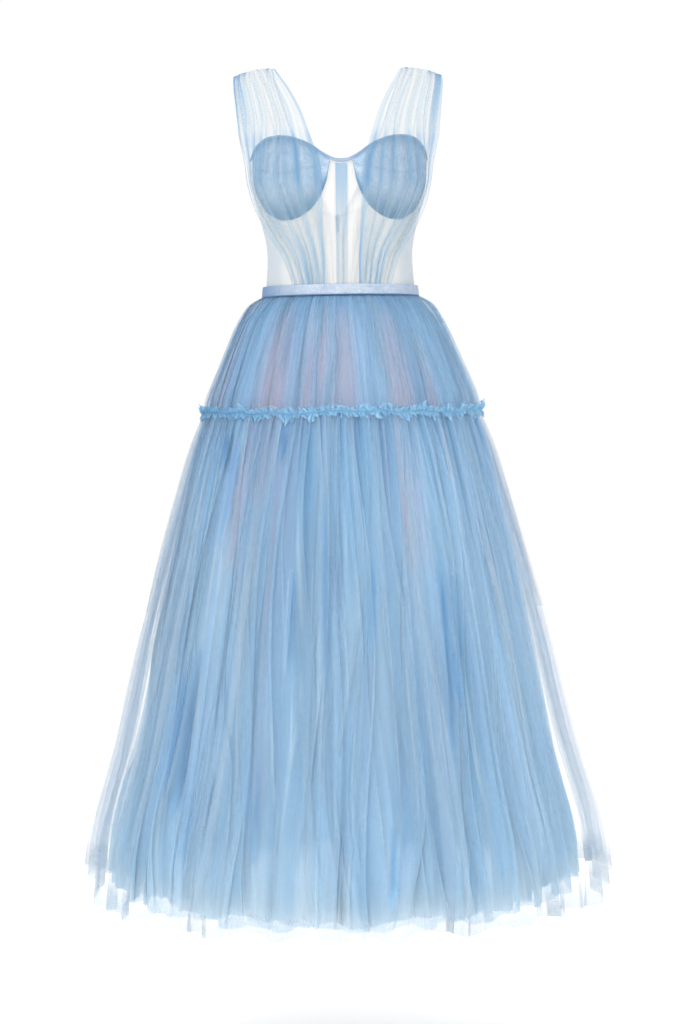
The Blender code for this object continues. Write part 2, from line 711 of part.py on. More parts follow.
def zip_tape():
    def surface(u, v):
        z = ZIP_END + (BACK_NECK - ZIP_END) * v
        return np.stack([ZIP_WIDTH / 2 * (1 - 2 * u), zip_line(z), z], axis=-1)

    heights = (ZIP_END, -0.5000, -0.4600, -0.4300, -0.4050, -0.3900, -0.3780, -0.3700, -0.3655,
               -0.3600, -0.3540, -0.3480, -0.3200, -0.2900, -0.2600, BACK_NECK)
    v = rows_by_height(heights, BACK_NECK, ZIP_END)
    wall("zip", surface, np.linspace(0.0, 1.0, 3), v, -MESH, 0.0, "zip_tape")


def box(bm, centre, size):
    made = bmesh.ops.create_cube(bm, size=1.0)
    for vert in made["verts"]:
        for k in range(3):
            vert.co[k] = centre[k] + vert.co[k] * size[k]


def rod(bm, centre, radius, length, sides=16):
    """A round bar along X."""
    made = bmesh.ops.create_cone(
        bm, cap_ends=True, segments=sides, radius1=radius, radius2=radius, depth=length
    )
    for vert in made["verts"]:
        x, y, z = vert.co
        vert.co = (centre[0] + z, centre[1] + y, centre[2] - x)


def solid(name, builder, slot):
    bm = bmesh.new()
    builder(bm)
    mesh = bpy.data.meshes.new(name)
    bm.to_mesh(mesh)
    bm.free()
    return link(name, mesh, slot)


def boolean(target, other, operation):
    """Apply a boolean and drop the other object."""
    change = target.modifiers.new(operation.lower(), "BOOLEAN")
    change.object = other
    change.operation = operation
    bpy.context.view_layer.update()
    evaluated = target.evaluated_get(bpy.context.evaluated_depsgraph_get())
    mesh = bpy.data.meshes.new_from_object(evaluated)
    target.modifiers.clear()
    target.data = mesh
    bpy.data.objects.remove(other)


def slider_and_tab():
    z = BACK_NECK - 0.0060
    face = float(zip_line(np.array(z))) + SEAM_GAP
    seat = face + SLIDER_SIZE[1] / 2 + SLIDER_GAP
    pin_y = face + SLIDER_GAP + SLIDER_SIZE[1] + PIN_STANDOFF
    ear_x = EAR_GAP / 2 + EAR_THICKNESS / 2
    body = solid("zip_slider", lambda bm: box(bm, (0, seat, z), SLIDER_SIZE), "zip_metal")
    ear_y = (pin_y + EAR_RADIUS + face + 0.0020) / 2
    ear_depth = pin_y + EAR_RADIUS - face - 0.0020
    for side in (-1, 1):
        centre = (side * ear_x, ear_y, z)
        size = (EAR_THICKNESS, ear_depth, 2 * EAR_RADIUS)
        boolean(body, solid("ear", lambda bm, c=centre, s=size: box(bm, c, s), "zip_metal"), "UNION")
    length = EAR_GAP + EAR_THICKNESS
    pin = solid("pin", lambda bm: rod(bm, (0, pin_y, z), PIN_RADIUS, length, 12), "zip_metal")
    boolean(body, pin, "UNION")
    body.name = "zip_slider"

    tab = solid("pull_tab", lambda bm: rod(bm, (0, 0, 0), KNUCKLE_RADIUS, KNUCKLE_LENGTH), "zip_metal")
    neck_size = (KNUCKLE_LENGTH, TAB_THICKNESS, TAB_NECK)
    neck = solid("neck", lambda bm: box(bm, (0, 0, -TAB_NECK / 2), neck_size), "zip_metal")
    boolean(tab, neck, "UNION")
    plate_size = (TAB_WIDTH, TAB_THICKNESS, TAB_LENGTH - TAB_NECK)
    plate_z = TAB_LAP - TAB_NECK - plate_size[2] / 2
    plate = solid("plate", lambda bm: box(bm, (0, 0, plate_z), plate_size), "zip_metal")
    boolean(tab, plate, "UNION")
    bore = solid("bore", lambda bm: rod(bm, (0, 0, 0), KNUCKLE_BORE, 0.02), "zip_metal")
    boolean(tab, bore, "DIFFERENCE")
    tab.name = "pull_tab"
    tab.location = (0.0, pin_y, z)


def main():
    for item in list(bpy.data.objects):
        bpy.data.objects.remove(item)
    for side in (-1, 1):
        base_front(side)
        base_back(side)
        cup(side)
        overlay(side, -1)
        overlay(side, 1)
    neck_binding()
    centre_strip()
    belt()
    upper_tier()
    lower_tier()
    ruffle()
    underskirt()
    lining()
    zip_tape()
    slider_and_tab()


main()
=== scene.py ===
"""Looks of an ankle-length tulle dress, in the worn form, with nobody in it.

Metres, +Z up, front towards -Y. Every cloth is a surface worked out on a grid: u turns round the
dress towards +X at the front, v climbs from the hem to the top, so the faces point outwards.
"""

import math

import bpy
import numpy as np
from mathutils import Matrix, Vector


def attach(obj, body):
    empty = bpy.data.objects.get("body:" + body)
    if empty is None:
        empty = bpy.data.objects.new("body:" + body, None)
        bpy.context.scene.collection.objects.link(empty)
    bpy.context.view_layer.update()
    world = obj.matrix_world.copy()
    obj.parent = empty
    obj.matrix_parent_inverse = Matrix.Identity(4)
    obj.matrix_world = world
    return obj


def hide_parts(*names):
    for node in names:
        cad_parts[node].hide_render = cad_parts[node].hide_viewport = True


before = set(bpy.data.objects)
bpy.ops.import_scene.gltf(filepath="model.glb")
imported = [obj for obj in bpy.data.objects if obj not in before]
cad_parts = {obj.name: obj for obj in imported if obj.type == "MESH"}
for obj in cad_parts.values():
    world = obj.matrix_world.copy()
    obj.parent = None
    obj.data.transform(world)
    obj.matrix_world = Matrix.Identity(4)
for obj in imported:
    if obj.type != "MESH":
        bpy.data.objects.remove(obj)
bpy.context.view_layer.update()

MM = 0.001
TURN = 2 * math.pi
QUARTER = math.pi / 2

# Heights of the dress, measured from the crest of the shoulders
BELT_TOP = -0.3500
BELT_BOTTOM = -0.3660
WAIST_SEAM = -0.3663
TIER_SEAM = -0.5490
HEM = -1.3000
UNDERARM = -0.1530
BACK_NECK = -0.2280
CENTRE_DIP = -0.1640
LINING_HEM = -1.1500
UNDERSKIRT_HEM = -1.2560

# Thicknesses and gaps on the bodice
SEAM_GAP = 0.0003
LAYER_GAP = 0.0009
TULLE = 0.0012
CUP_PADDING = 0.0030
ZIP_WIDTH = 0.0100
ZIP_END = -0.5400
STRIP_WIDTH = 0.0180
ZIP_TO_TIER = 0.0062
BELT_THICKNESS = 0.0030
BELT_CLEARANCE = 0.0003
SHADOW_CORD_HALF_HEIGHT = 0.0010

# Cup domes of the bodice form
DOME_RISE = 0.0200
DOME_ANGLE = math.radians(35.0)
DOME_ANGLE_REACH = math.radians(44.0)
DOME_HEIGHT = -0.1880
DOME_HEIGHT_REACH = 0.0900
STRAP_BULGE = 0.0220
STRAP_CROWN = 0.004
STRAP_CLEARANCE = 0.0010

# Round the bodice: what turns a width of cloth into an angle
FRONT_SEAM_RADIUS = 0.10
SIDE_SEAM_RADIUS = 0.14
BELT_RADIUS = 0.118

BODICE_COLUMNS = ("z", "half_width", "front_depth", "back_depth")
BODICE = (
    (-0.0500, 0.1600, 0.0700, 0.0700),
    (-0.0900, 0.1560, 0.0880, 0.0880),
    (-0.1200, 0.1460, 0.0960, 0.0940),
    (-0.1500, 0.1415, 0.1010, 0.0950),
    (-0.1900, 0.1385, 0.1020, 0.0940),
    (-0.2200, 0.1325, 0.0990, 0.0910),
    (-0.2560, 0.1225, 0.0935, 0.0870),
    (-0.2940, 0.1155, 0.0880, 0.0820),
    (-0.3320, 0.1165, 0.0885, 0.0830),
    (-0.3660, 0.1195, 0.0915, 0.0860),
)

NECKLINE_COLUMNS = ("x", "z")
NECKLINE = (
    (0.0000, -0.1638),
    (0.0120, -0.1618),
    (0.0200, -0.1572),
    (0.0290, -0.1498),
    (0.0430, -0.1390),
    (0.0680, -0.1265),
    (0.0950, -0.1215),
    (0.1170, -0.1265),
    (0.1300, -0.1380),
    (0.1370, -0.1490),
    (0.1415, -0.1530),
)

CUP_EDGE_COLUMNS = ("x", "z")
CUP_EDGE = (
    (0.0185, -0.1640),
    (0.0215, -0.1830),
    (0.0270, -0.2010),
    (0.0390, -0.2230),
    (0.0560, -0.2390),
    (0.0800, -0.2475),
    (0.1020, -0.2410),
    (0.1200, -0.2200),
    (0.1300, -0.1920),
    (0.1345, -0.1600),
)
CUP_START = math.radians(7.4)
CUP_STOP = math.radians(70.3)

# Both edges of a strap from the shoulder to the waist; its front and back differ in three columns
STRAP_COLUMNS = (
    "z_inner", "z_outer", "y_outer", "on_form", "spread",
    "x_inner_front", "y_inner_front", "x_outer_front",
    "x_inner_back", "y_inner_back", "x_outer_back",
)
STRAP = (
    (-0.0045, -0.0165, 0.0000, 0.0, 1.10, 0.1030, 0.0000, 0.1640, 0.1030, 0.0000, 0.1640),
    (-0.0080, -0.0205, 0.0130, 0.0, 1.10, 0.0990, 0.0200, 0.1650, 0.1010, 0.0200, 0.1650),
    (-0.0205, -0.0305, 0.0270, 0.0, 1.10, 0.0920, 0.0410, 0.1655, 0.0970, 0.0420, 0.1655),
    (-0.0450, -0.0520, 0.0380, 0.0, 1.10, 0.0770, 0.0620, 0.1635, 0.0880, 0.0640, 0.1635),
    (-0.0800, -0.0820, 0.0420, 0.1, 1.10, 0.0600, 0.0830, 0.1600, 0.0760, 0.0800, 0.1600),
    (-0.1120, -0.1120, 0.0380, 0.7, 1.10, 0.0475, 0.0970, 0.1535, 0.0640, 0.0880, 0.1535),
    (-0.1360, -0.1360, 0.0300, 1.0, 1.07, 0.0390, 0.1020, 0.1470, 0.0540, 0.0900, 0.1470),
    (-0.1600, -0.1580, 0.0180, 1.0, 1.025, 0.0315, 0.1050, 0.1420, 0.0430, 0.0920, 0.1420),
    (-0.1900, -0.1900, 0.0120, 1.0, 1.00, 0.0285, 0.1050, 0.1375, 0.0290, 0.0930, 0.1375),
    (-0.2240, -0.2240, 0.0200, 1.0, 1.00, 0.0275, 0.1000, 0.1285, 0.0120, 0.0910, 0.1285),
    (-0.2600, -0.2600, 0.0300, 1.0, 1.00, 0.0270, 0.0930, 0.1120, 0.0070, 0.0870, 0.1120),
    (-0.2980, -0.2980, 0.0500, 1.0, 1.00, 0.0265, 0.0880, 0.0920, 0.0068, 0.0820, 0.0900),
    (-0.3440, -0.3440, 0.0600, 1.0, 1.00, 0.0265, 0.0880, 0.0770, 0.0068, 0.0830, 0.0710),
    (-0.3655, -0.3655, 0.0700, 1.0, 1.00, 0.0265, 0.0900, 0.0730, 0.0068, 0.0860, 0.0660),
)

SKIRT_COLUMNS = ("z", "half_width", "depth", "fold")
UPPER_TIER = (
    (-0.3663, 0.1310, 0.1000, 0.0014),
    (-0.3800, 0.1460, 0.1160, 0.0022),
    (-0.4030, 0.1610, 0.1340, 0.0028),
    (-0.4350, 0.1760, 0.1530, 0.0034),
    (-0.4670, 0.1895, 0.1690, 0.0038),
    (-0.4990, 0.2030, 0.1850, 0.0040),
    (-0.5310, 0.2155, 0.2000, 0.0034),
    (-0.5490, 0.2190, 0.2050, 0.0024),
)
LOWER_TIER = (
    (-0.5490, 0.2190, 0.2050, 0.0024),
    (-0.5950, 0.2360, 0.2230, 0.0050),
    (-0.6910, 0.2640, 0.2530, 0.0075),
    (-0.8830, 0.3145, 0.3040, 0.0100),
    (-1.0750, 0.3600, 0.3510, 0.0120),
    (-1.2350, 0.4040, 0.3920, 0.0135),
    (-1.3050, 0.4110, 0.3990, 0.0140),
)
UNDERSKIRT = (
    (-0.3663, 0.1212, 0.0917, 0.0004),
    (-0.3800, 0.1330, 0.1050, 0.0010),
    (-0.4030, 0.1510, 0.1250, 0.0015),
    (-0.4350, 0.1660, 0.1430, 0.0020),
    (-0.4990, 0.1890, 0.1720, 0.0030),
    (-0.5490, 0.2040, 0.1910, 0.0036),
    (-0.6270, 0.2270, 0.2150, 0.0050),
    (-0.7870, 0.2600, 0.2490, 0.0060),
    (-0.9790, 0.2960, 0.2850, 0.0075),
    (-1.1710, 0.3320, 0.3200, 0.0085),
    (-1.2600, 0.3480, 0.3360, 0.0090),
)
LINING = (
    (-0.3663, 0.1180, 0.0885, 0.0),
    (-0.3800, 0.1280, 0.0995, 0.0),
    (-0.4030, 0.1430, 0.1170, 0.0),
    (-0.4350, 0.1550, 0.1320, 0.0),
    (-0.4990, 0.1710, 0.1530, 0.0),
    (-0.6000, 0.1880, 0.1720, 0.0),
    (-0.8000, 0.2100, 0.1950, 0.0),
    (-1.1500, 0.2450, 0.2300, 0.0),
)

# The main creases of the lower tier: soft troughs between two ends
# The column deep says how far a crease deepens the colour: doubled cloth and painted shade
CREASE_COLUMNS = ("angle_top", "z_top", "angle_low", "z_low", "width_mm", "depth_mm", "deep")
CREASES = (
    (-45.0, -0.585, -44.8, -0.770, 3.0, 7.0, 0.9),
    (-51.5, -0.900, -52.7, -1.165, 6.0, 9.0, 0.9),
    (-18.2, -0.780, -18.2, -0.930, 2.5, 6.0, 0.7),
    (-40.5, -1.080, -40.6, -1.240, 4.0, 7.0, 0.9),
    (-54.6, -0.575, -51.2, -0.640, 4.0, 6.0, 0.7),
    (-25.2, -0.565, -24.7, -0.625, 2.5, 5.0, 0.8),
    (-26.0, -1.020, -24.5, -1.220, 7.0, 6.0, 0.6),
    (30.9, -0.760, 27.8, -1.065, 3.0, 8.0, 1.0),
    (36.4, -0.790, 32.3, -1.150, 6.0, 8.0, 0.7),
    (7.5, -0.750, 5.1, -0.920, 3.0, 5.0, 0.6),
    (9.4, -1.160, 7.5, -1.280, 2.5, 6.0, 0.8),
    (18.8, -0.900, 17.4, -1.120, 3.0, 4.0, 0.3),
    (-8.0, -0.640, -7.0, -0.980, 3.5, 4.0, 0.4),
    (55.0, -0.620, 50.0, -0.940, 5.0, 6.0, 0.5),
    (-66.0, -0.700, -66.0, -1.000, 6.0, 6.0, 0.4),
    (92.0, -0.600, 90.0, -0.860, 5.0, 7.0, 0.6),
    (108.0, -0.860, 111.0, -1.180, 5.0, 8.0, 0.8),
    (127.0, -0.580, 126.0, -0.760, 3.0, 6.0, 0.8),
    (140.0, -0.720, 143.0, -1.060, 4.0, 7.0, 0.9),
    (158.0, -0.620, 156.0, -0.860, 4.0, 6.0, 0.6),
    (171.0, -0.900, 172.0, -1.230, 5.0, 7.0, 0.7),
    (189.0, -0.600, 187.0, -0.840, 3.0, 6.0, 0.8),
    (203.0, -0.830, 206.0, -1.110, 5.0, 8.0, 0.8),
    (221.0, -0.580, 223.0, -0.800, 4.0, 6.0, 0.7),
    (236.0, -0.960, 233.0, -1.240, 4.0, 7.0, 0.9),
    (252.0, -0.640, 255.0, -0.960, 5.0, 7.0, 0.6),
)
CREASE_SPREAD = 1.5

# Places where the dense inner cloth thins out and the nude lining shows through it
STREAK_COLUMNS = ("angle", "z_top", "z_low", "half_width_deg", "share")
STREAKS = (
    (-36.0, -0.385, -0.700, 8.0, 0.62),
    (-18.0, -0.385, -0.620, 4.0, 0.45),
    (-11.0, -0.375, -0.560, 2.5, 0.62),
    (-1.0, -0.385, -0.600, 7.0, 0.50),
    (27.0, -0.385, -0.640, 6.0, 0.60),
    (42.0, -0.420, -0.660, 3.5, 0.62),
    (-44.0, -0.560, -0.800, 5.0, 0.42),
    (-25.0, -0.560, -1.000, 4.0, 0.35),
    (22.0, -0.560, -0.800, 7.0, 0.35),
    (-25.5, -1.000, -1.230, 3.0, 0.30),
    (-75.0, -0.400, -0.600, 6.0, 0.30),
    (78.0, -0.400, -0.620, 6.0, 0.30),
    (112.0, -0.390, -0.640, 6.0, 0.50),
    (138.0, -0.390, -0.700, 6.0, 0.55),
    (163.0, -0.390, -0.600, 5.0, 0.45),
    (197.0, -0.390, -0.620, 6.0, 0.45),
    (219.0, -0.390, -0.720, 7.0, 0.55),
    (246.0, -0.390, -0.640, 5.0, 0.50),
)


# Reading of tables, and smooth uneven lines

def column(table, names, name):
    return np.array([row[names.index(name)] for row in table])


def smooth_read(positions, values, at):
    """Cubic reading of a column through its rows, with the slope of each row's neighbours."""
    order = np.argsort(positions)
    positions = np.asarray(positions, dtype=float)[order]
    values = np.asarray(values, dtype=float)[order]
    slopes = np.gradient(values, positions)
    at = np.clip(np.asarray(at, dtype=float), positions[0], positions[-1])
    index = np.clip(np.searchsorted(positions, at) - 1, 0, len(positions) - 2)
    step = positions[index + 1] - positions[index]
    s = (at - positions[index]) / step
    start = (1 + 2 * s) * (1 - s) ** 2 * values[index] + s * (1 - s) ** 2 * step * slopes[index]
    end = s * s * (3 - 2 * s) * values[index + 1] + s * s * (s - 1) * step * slopes[index + 1]
    return start + end


def read_table(table, names, name, at, by="z"):
    """One column of a table, read smoothly at places along another column."""
    return smooth_read(column(table, names, by), column(table, names, name), at)


def between(low, high, share):
    return low + (high - low) * share


def ease(value, low, high):
    """0 below low, 1 above high, with a smooth rise between them."""
    s = np.clip((np.asarray(value) - low) / (high - low), 0.0, 1.0)
    return s * s * (3 - 2 * s)


def bell(value, middle, reach):
    return np.exp(-(((value - middle) / reach) ** 2))


def uneven(turn, v, seed, counts, climb):
    """Smooth uneven field round the dress: sines of whole counts of the turn, each with its own
    seeded phase and its own drift along v."""
    draw = np.random.default_rng(seed)
    total = np.zeros(np.broadcast(turn, v).shape)
    for count in counts:
        phase = draw.random()
        total = total + np.sin(TURN * (count * turn + climb * draw.uniform(-1, 1) * v + phase))
    return total / math.sqrt(len(counts))


def grid(across, rows):
    """The given places across and rows heights from 0 to 1, both as arrays over the grid."""
    return np.meshgrid(across, np.linspace(0.0, 1.0, rows), indexing="ij")


def unit(vectors):
    return vectors / np.maximum(np.linalg.norm(vectors, axis=-1, keepdims=True), 1e-12)


def normals_of(points):
    """Unit normals of a grid of points: the cross product of its two differences."""
    across = np.gradient(points, axis=0)
    along = np.gradient(points, axis=1)
    return unit(np.cross(across, along))


# Meshes

def add_piece(name, points, faces, finish, uv, values):
    """A new piece from points and four-sided faces, with its UV map in metres and its values."""
    mesh = bpy.data.meshes.new(name)
    mesh.vertices.add(len(points))
    mesh.vertices.foreach_set("co", np.ascontiguousarray(points, dtype=np.float32).ravel())
    corners = np.ascontiguousarray(faces, dtype=np.int32).ravel()
    mesh.loops.add(len(corners))
    mesh.loops.foreach_set("vertex_index", corners)
    mesh.polygons.add(len(faces))
    mesh.polygons.foreach_set("loop_start", np.arange(0, len(corners), 4, dtype=np.int32))
    mesh.polygons.foreach_set("use_smooth", np.ones(len(faces), dtype=bool))
    layer = mesh.uv_layers.new(name="UVMap")
    layer.data.foreach_set("uv", uv.astype(np.float32).ravel())
    for key, value in values.items():
        attribute = mesh.attributes.new(key, "FLOAT", "POINT")
        attribute.data.foreach_set("value", np.asarray(value, dtype=np.float32).ravel())
    mesh.update()
    mesh.validate()
    mesh.materials.append(finish)
    made = bpy.data.objects.new(name, mesh)
    bpy.context.scene.collection.objects.link(made)
    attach(made, "dress")
    return made


def grid_cells(across, along, closed_u, closed_v):
    """Row and column of each face of a grid of points, and how many faces run each way."""
    last_u = across if closed_u else across - 1
    last_v = along if closed_v else along - 1
    i, j = np.meshgrid(np.arange(last_u), np.arange(last_v), indexing="ij")
    return i, j, last_u, last_v


def grid_faces(across, along, closed_u=False, closed_v=False):
    """Faces of a grid of points, with the numbers of their corners."""
    i, j, _, _ = grid_cells(across, along, closed_u, closed_v)
    i_next = (i + 1) % across
    j_next = (j + 1) % along
    corners = (i * along + j, i_next * along + j, i_next * along + j_next, i * along + j_next)
    return np.stack(corners, axis=-1).reshape(-1, 4)


def grid_uv(width, height, across, along, closed_u=False, closed_v=False):
    """UV of each face corner, in metres of cloth: width is the cut's width along u."""
    i, j, last_u, last_v = grid_cells(across, along, closed_u, closed_v)
    s = np.stack([i, i + 1, i + 1, i], axis=-1) * width / last_u
    t = np.stack([j, j, j + 1, j + 1], axis=-1) * height / last_v
    return np.stack([s, t], axis=-1).reshape(-1, 2)


def add_sheet(name, points, cut, finish, values, closed_u=False, flip=False):
    """A sheet of cloth one grid thick. cut is its flat size, which scales the weave."""
    across, along = points.shape[:2]
    faces = grid_faces(across, along, closed_u)
    uv = grid_uv(cut[0], cut[1], across, along, closed_u).reshape(-1, 4, 2)
    if flip:
        faces = faces[:, ::-1]
        uv = uv[:, ::-1]
    full = {key: np.broadcast_to(value, (across, along)) for key, value in values.items()}
    return add_piece(name, points.reshape(-1, 3), faces, finish, uv.reshape(-1, 2), full)


def add_tube(name, rings, finish, values=None):
    """A closed body from rings of points along a path, its two ends filled by shrunk rings."""
    first = np.broadcast_to(rings[0].mean(axis=0), rings[0].shape)
    last = np.broadcast_to(rings[-1].mean(axis=0), rings[-1].shape)
    rings = np.concatenate([first[None], rings, last[None]])
    across, along = rings.shape[:2]
    ended = {k: np.concatenate([v[:1], v, v[-1:]]) for k, v in (values or {}).items()}
    steps = np.linalg.norm(np.diff(rings, axis=0), axis=-1).mean(axis=1).sum()
    girth = np.linalg.norm(np.diff(rings, axis=1), axis=-1).sum(axis=1).mean()
    faces = grid_faces(across, along, closed_v=True)
    uv = grid_uv(steps, girth, across, along, closed_v=True)
    return add_piece(name, rings.reshape(-1, 3), faces, finish, uv, ended)


# Materials

# Where the colours of a ramp stand along it
WHOLE = (0.0, 0.5, 1.0)
MIDDLE = (0.25, 0.5, 0.75)
PAIR = (0.3, 0.7)
# Fibre of every cloth here
SHEEN_ROUGHNESS = 0.5
FIBRE_IOR = 1.5
# Net: a streak's length over its width, and how far streaks move along the colours
STREAK_LENGTH = 60
STREAK_TONE = 0.35
# Glitter: the share of cells without a flake, a flake's strength, and the size of the clouds
FLAKE_RARITY = 0.78
FLAKE_SHARE = 0.80
CLOUD_MM = 14


def linear(hex_colour):
    """An sRGB hex colour as the linear values that a shader takes."""
    parts = [int(hex_colour[k:k + 2], 16) / 255 for k in (1, 3, 5)]
    return tuple(c / 12.92 if c <= 0.04045 else ((c + 0.055) / 1.055) ** 2.4 for c in parts)


def start_material(name, roughness, sheen=0.0):
    made = bpy.data.materials.new(name)
    made.use_nodes = True
    shader = made.node_tree.nodes["Principled BSDF"]
    shader.inputs["Roughness"].default_value = roughness
    shader.inputs["Sheen Weight"].default_value = sheen
    shader.inputs["Sheen Roughness"].default_value = SHEEN_ROUGHNESS
    shader.inputs["IOR"].default_value = FIBRE_IOR
    return made, made.node_tree, shader


def add_node(tree, kind, links=None, values=None, **settings):
    """One node, with its settings, its socket values and its links from other nodes' sockets."""
    made = tree.nodes.new(kind)
    for key, value in settings.items():
        setattr(made, key, value)
    for key, value in (values or {}).items():
        made.inputs[key].default_value = value
    for key, source in (links or {}).items():
        tree.links.new(source, made.inputs[key])
    return made


def maths(tree, operation, *terms, clamp=False):
    """The result of a maths node, whose terms are numbers or other nodes' sockets."""
    links = {k: term for k, term in enumerate(terms) if isinstance(term, bpy.types.NodeSocket)}
    values = {k: term for k, term in enumerate(terms) if k not in links}
    made = add_node(tree, "ShaderNodeMath", links, values, operation=operation, use_clamp=clamp)
    return made.outputs["Value"]


def attribute(tree, name):
    return add_node(tree, "ShaderNodeAttribute", attribute_name=name).outputs["Fac"]


def object_place(tree):
    return add_node(tree, "ShaderNodeTexCoord").outputs["Object"]


def colour_ramp(tree, source, places, colours):
    """A ramp through hex colours, each at its place."""
    made = add_node(tree, "ShaderNodeValToRGB", {"Fac": source})
    ramp = made.color_ramp
    while len(ramp.elements) < len(colours):
        ramp.elements.new(0.5)
    for element, place, colour in zip(ramp.elements, places, colours):
        element.position = place
        element.color = (*linear(colour), 1.0)
    return made.outputs["Color"]


def mixed(tree, share, colour, towards):
    """A colour moved by a share towards another one, which is a socket or a hex colour."""
    links = {0: share, 6: colour}
    values = {}
    if isinstance(towards, str):
        values[7] = (*linear(towards), 1.0)
    else:
        links[7] = towards
    return add_node(tree, "ShaderNodeMix", links, values, data_type="RGBA").outputs[2]


def join(tree, shader, links):
    for key, source in links.items():
        tree.links.new(source, shader.inputs[key])


def tulle_material(name, colours, roughness, grain_share, streak_share, net_mm=2.4, streak_mm=5.0,
                   blush=None):
    """Soft nylon net. The value cover says how much of the light one ply stops, tone runs along the
    colours, streaks follow the cloth's length, and the net is a fine grain.

    The real holes are about 1 mm wide, too fine for the render, so the net is drawn at net_mm.
    """
    made, tree, shader = start_material(name, roughness, sheen=0.12)
    place = add_node(tree, "ShaderNodeUVMap", uv_map="UVMap").outputs["UV"]
    scale = (1 / (streak_mm * MM), 1 / (STREAK_LENGTH * streak_mm * MM), 1.0)
    along = add_node(tree, "ShaderNodeVectorMath", {0: place}, {1: scale}, operation="MULTIPLY")
    streak = add_node(tree, "ShaderNodeTexNoise", {"Vector": along.outputs["Vector"]},
                      {"Scale": 1.0, "Detail": 2.0, "Roughness": 0.6},
                      noise_dimensions="2D").outputs["Fac"]
    grain = add_node(tree, "ShaderNodeTexVoronoi", {"Vector": place},
                     {"Scale": 1 / (net_mm * MM), "Randomness": 0.8},
                     feature="F1", voronoi_dimensions="2D").outputs["Distance"]
    centred = maths(tree, "MULTIPLY_ADD", streak, streak_share, 1 - streak_share / 2)
    net = maths(tree, "MULTIPLY_ADD", grain, grain_share, 1 - grain_share / 2)
    weight = maths(tree, "MULTIPLY", centred, net)
    alpha = maths(tree, "MULTIPLY", weight, attribute(tree, "cover"), clamp=True)
    shift = maths(tree, "MULTIPLY_ADD", streak, STREAK_TONE, attribute(tree, "tone"))
    shade = maths(tree, "SUBTRACT", shift, STREAK_TONE / 2, clamp=True)
    colour = colour_ramp(tree, shade, WHOLE, colours)
    if blush:
        colour = mixed(tree, attribute(tree, "blush"), colour, blush)
    join(tree, shader, {"Base Color": colour, "Alpha": alpha})
    return made


def glitter_material(name, ground, dots, flake_mm, shadow):
    """Woven cloth with fine flakes of foil: matt between them, bright and tilted on each flake.

    The value shade, 0 to 1, deepens it towards the colour shadow: painted shade.
    """
    made, tree, shader = start_material(name, 0.6, sheen=0.1)
    place = object_place(tree)
    cells = add_node(tree, "ShaderNodeTexVoronoi", {"Vector": place},
                     {"Scale": 1 / (flake_mm * MM), "Randomness": 1.0}, feature="F1")
    chance = add_node(tree, "ShaderNodeSeparateColor", {"Color": cells.outputs["Color"]}).outputs
    flake = maths(tree, "GREATER_THAN", chance["Red"], FLAKE_RARITY)
    cloud = add_node(tree, "ShaderNodeTexNoise", {"Vector": place},
                     {"Scale": 1 / (CLOUD_MM * MM), "Detail": 3.0, "Roughness": 0.6})
    base = colour_ramp(tree, cloud.outputs["Fac"], MIDDLE, ground)
    glint = colour_ramp(tree, chance["Green"], WHOLE, dots)
    speckled = mixed(tree, maths(tree, "MULTIPLY", flake, FLAKE_SHARE), base, glint)
    bump = add_node(tree, "ShaderNodeBump", {"Height": chance["Blue"]},
                    {"Strength": 0.10, "Distance": 0.0003})
    join(tree, shader, {
        "Base Color": mixed(tree, attribute(tree, "shade"), speckled, shadow),
        "Roughness": maths(tree, "MULTIPLY_ADD", flake, -0.15, 0.65),
        "Metallic": maths(tree, "MULTIPLY", flake, 0.25),
        "Normal": bump.outputs["Normal"],
    })
    return made


def satin_material(name, colours, sheen, thread_mm):
    """Closely woven cloth: fine cross threads as bump, and a slow change of colour."""
    made, tree, shader = start_material(name, 0.5, sheen)
    place = object_place(tree)
    cloud = add_node(tree, "ShaderNodeTexNoise", {"Vector": place}, {"Scale": 9.0, "Detail": 4.0})
    threads = add_node(tree, "ShaderNodeTexWave", {"Vector": place},
                       {"Scale": 1 / (thread_mm * MM) / TURN * 2, "Distortion": 1.0},
                       bands_direction="Z")
    bump = add_node(tree, "ShaderNodeBump", {"Height": threads.outputs["Fac"]},
                    {"Strength": 0.15, "Distance": 0.0004})
    join(tree, shader, {"Base Color": colour_ramp(tree, cloud.outputs["Fac"], PAIR, colours),
                        "Normal": bump.outputs["Normal"]})
    return made


def enamel_material(name, colours):
    """Baked enamel on die-cast zinc: smooth and glossy, a little worn at random."""
    made, tree, shader = start_material(name, 0.28)
    wear = add_node(tree, "ShaderNodeTexNoise", {"Vector": object_place(tree)},
                    {"Scale": 900.0, "Detail": 3.0}).outputs["Fac"]
    join(tree, shader, {"Base Color": colour_ramp(tree, wear, PAIR, colours),
                        "Roughness": maths(tree, "MULTIPLY_ADD", wear, 0.2, 0.2)})
    return made


# Fine nylon net in one ply: nearly clear, blue grey threads that darken a white ground a little
OUTER_NET = tulle_material(
    "nylon_tulle_outer_ply", ("#c2cfda", "#9cbad4", "#5f94c6"), 0.85, 0.25, 0.5
)
# The same net in several plies, dyed blue: soft and matt, deeper where it is doubled
BLUE_NET = tulle_material("nylon_tulle_blue", ("#c0dbec", "#94c8ee", "#4a88bc"), 0.85, 0.2, 0.5)
# Net of the upper tier, greyer because the nude slip lies close behind it
UPPER_NET = tulle_material("nylon_tulle_hip", ("#bcd6e9", "#90b8d7", "#4e86ae"), 0.85, 0.2, 0.5)
# Gathered net under the tiers, so dense that it looks solid, with the nude slip close behind
DENSE_NET = tulle_material(
    "nylon_tulle_dense", ("#add3f1", "#8ebde6", "#5e92c8"), 0.9, 0.15, 0.4, blush="#dcb6c6"
)
# Crumpled net of the gathered heading, more saturated because it stands in thick loops
RUFFLE_NET = tulle_material(
    "nylon_tulle_heading", ("#bde2f7", "#8cc2e5", "#5189b2"), 0.85, 0.3, 0.4
)
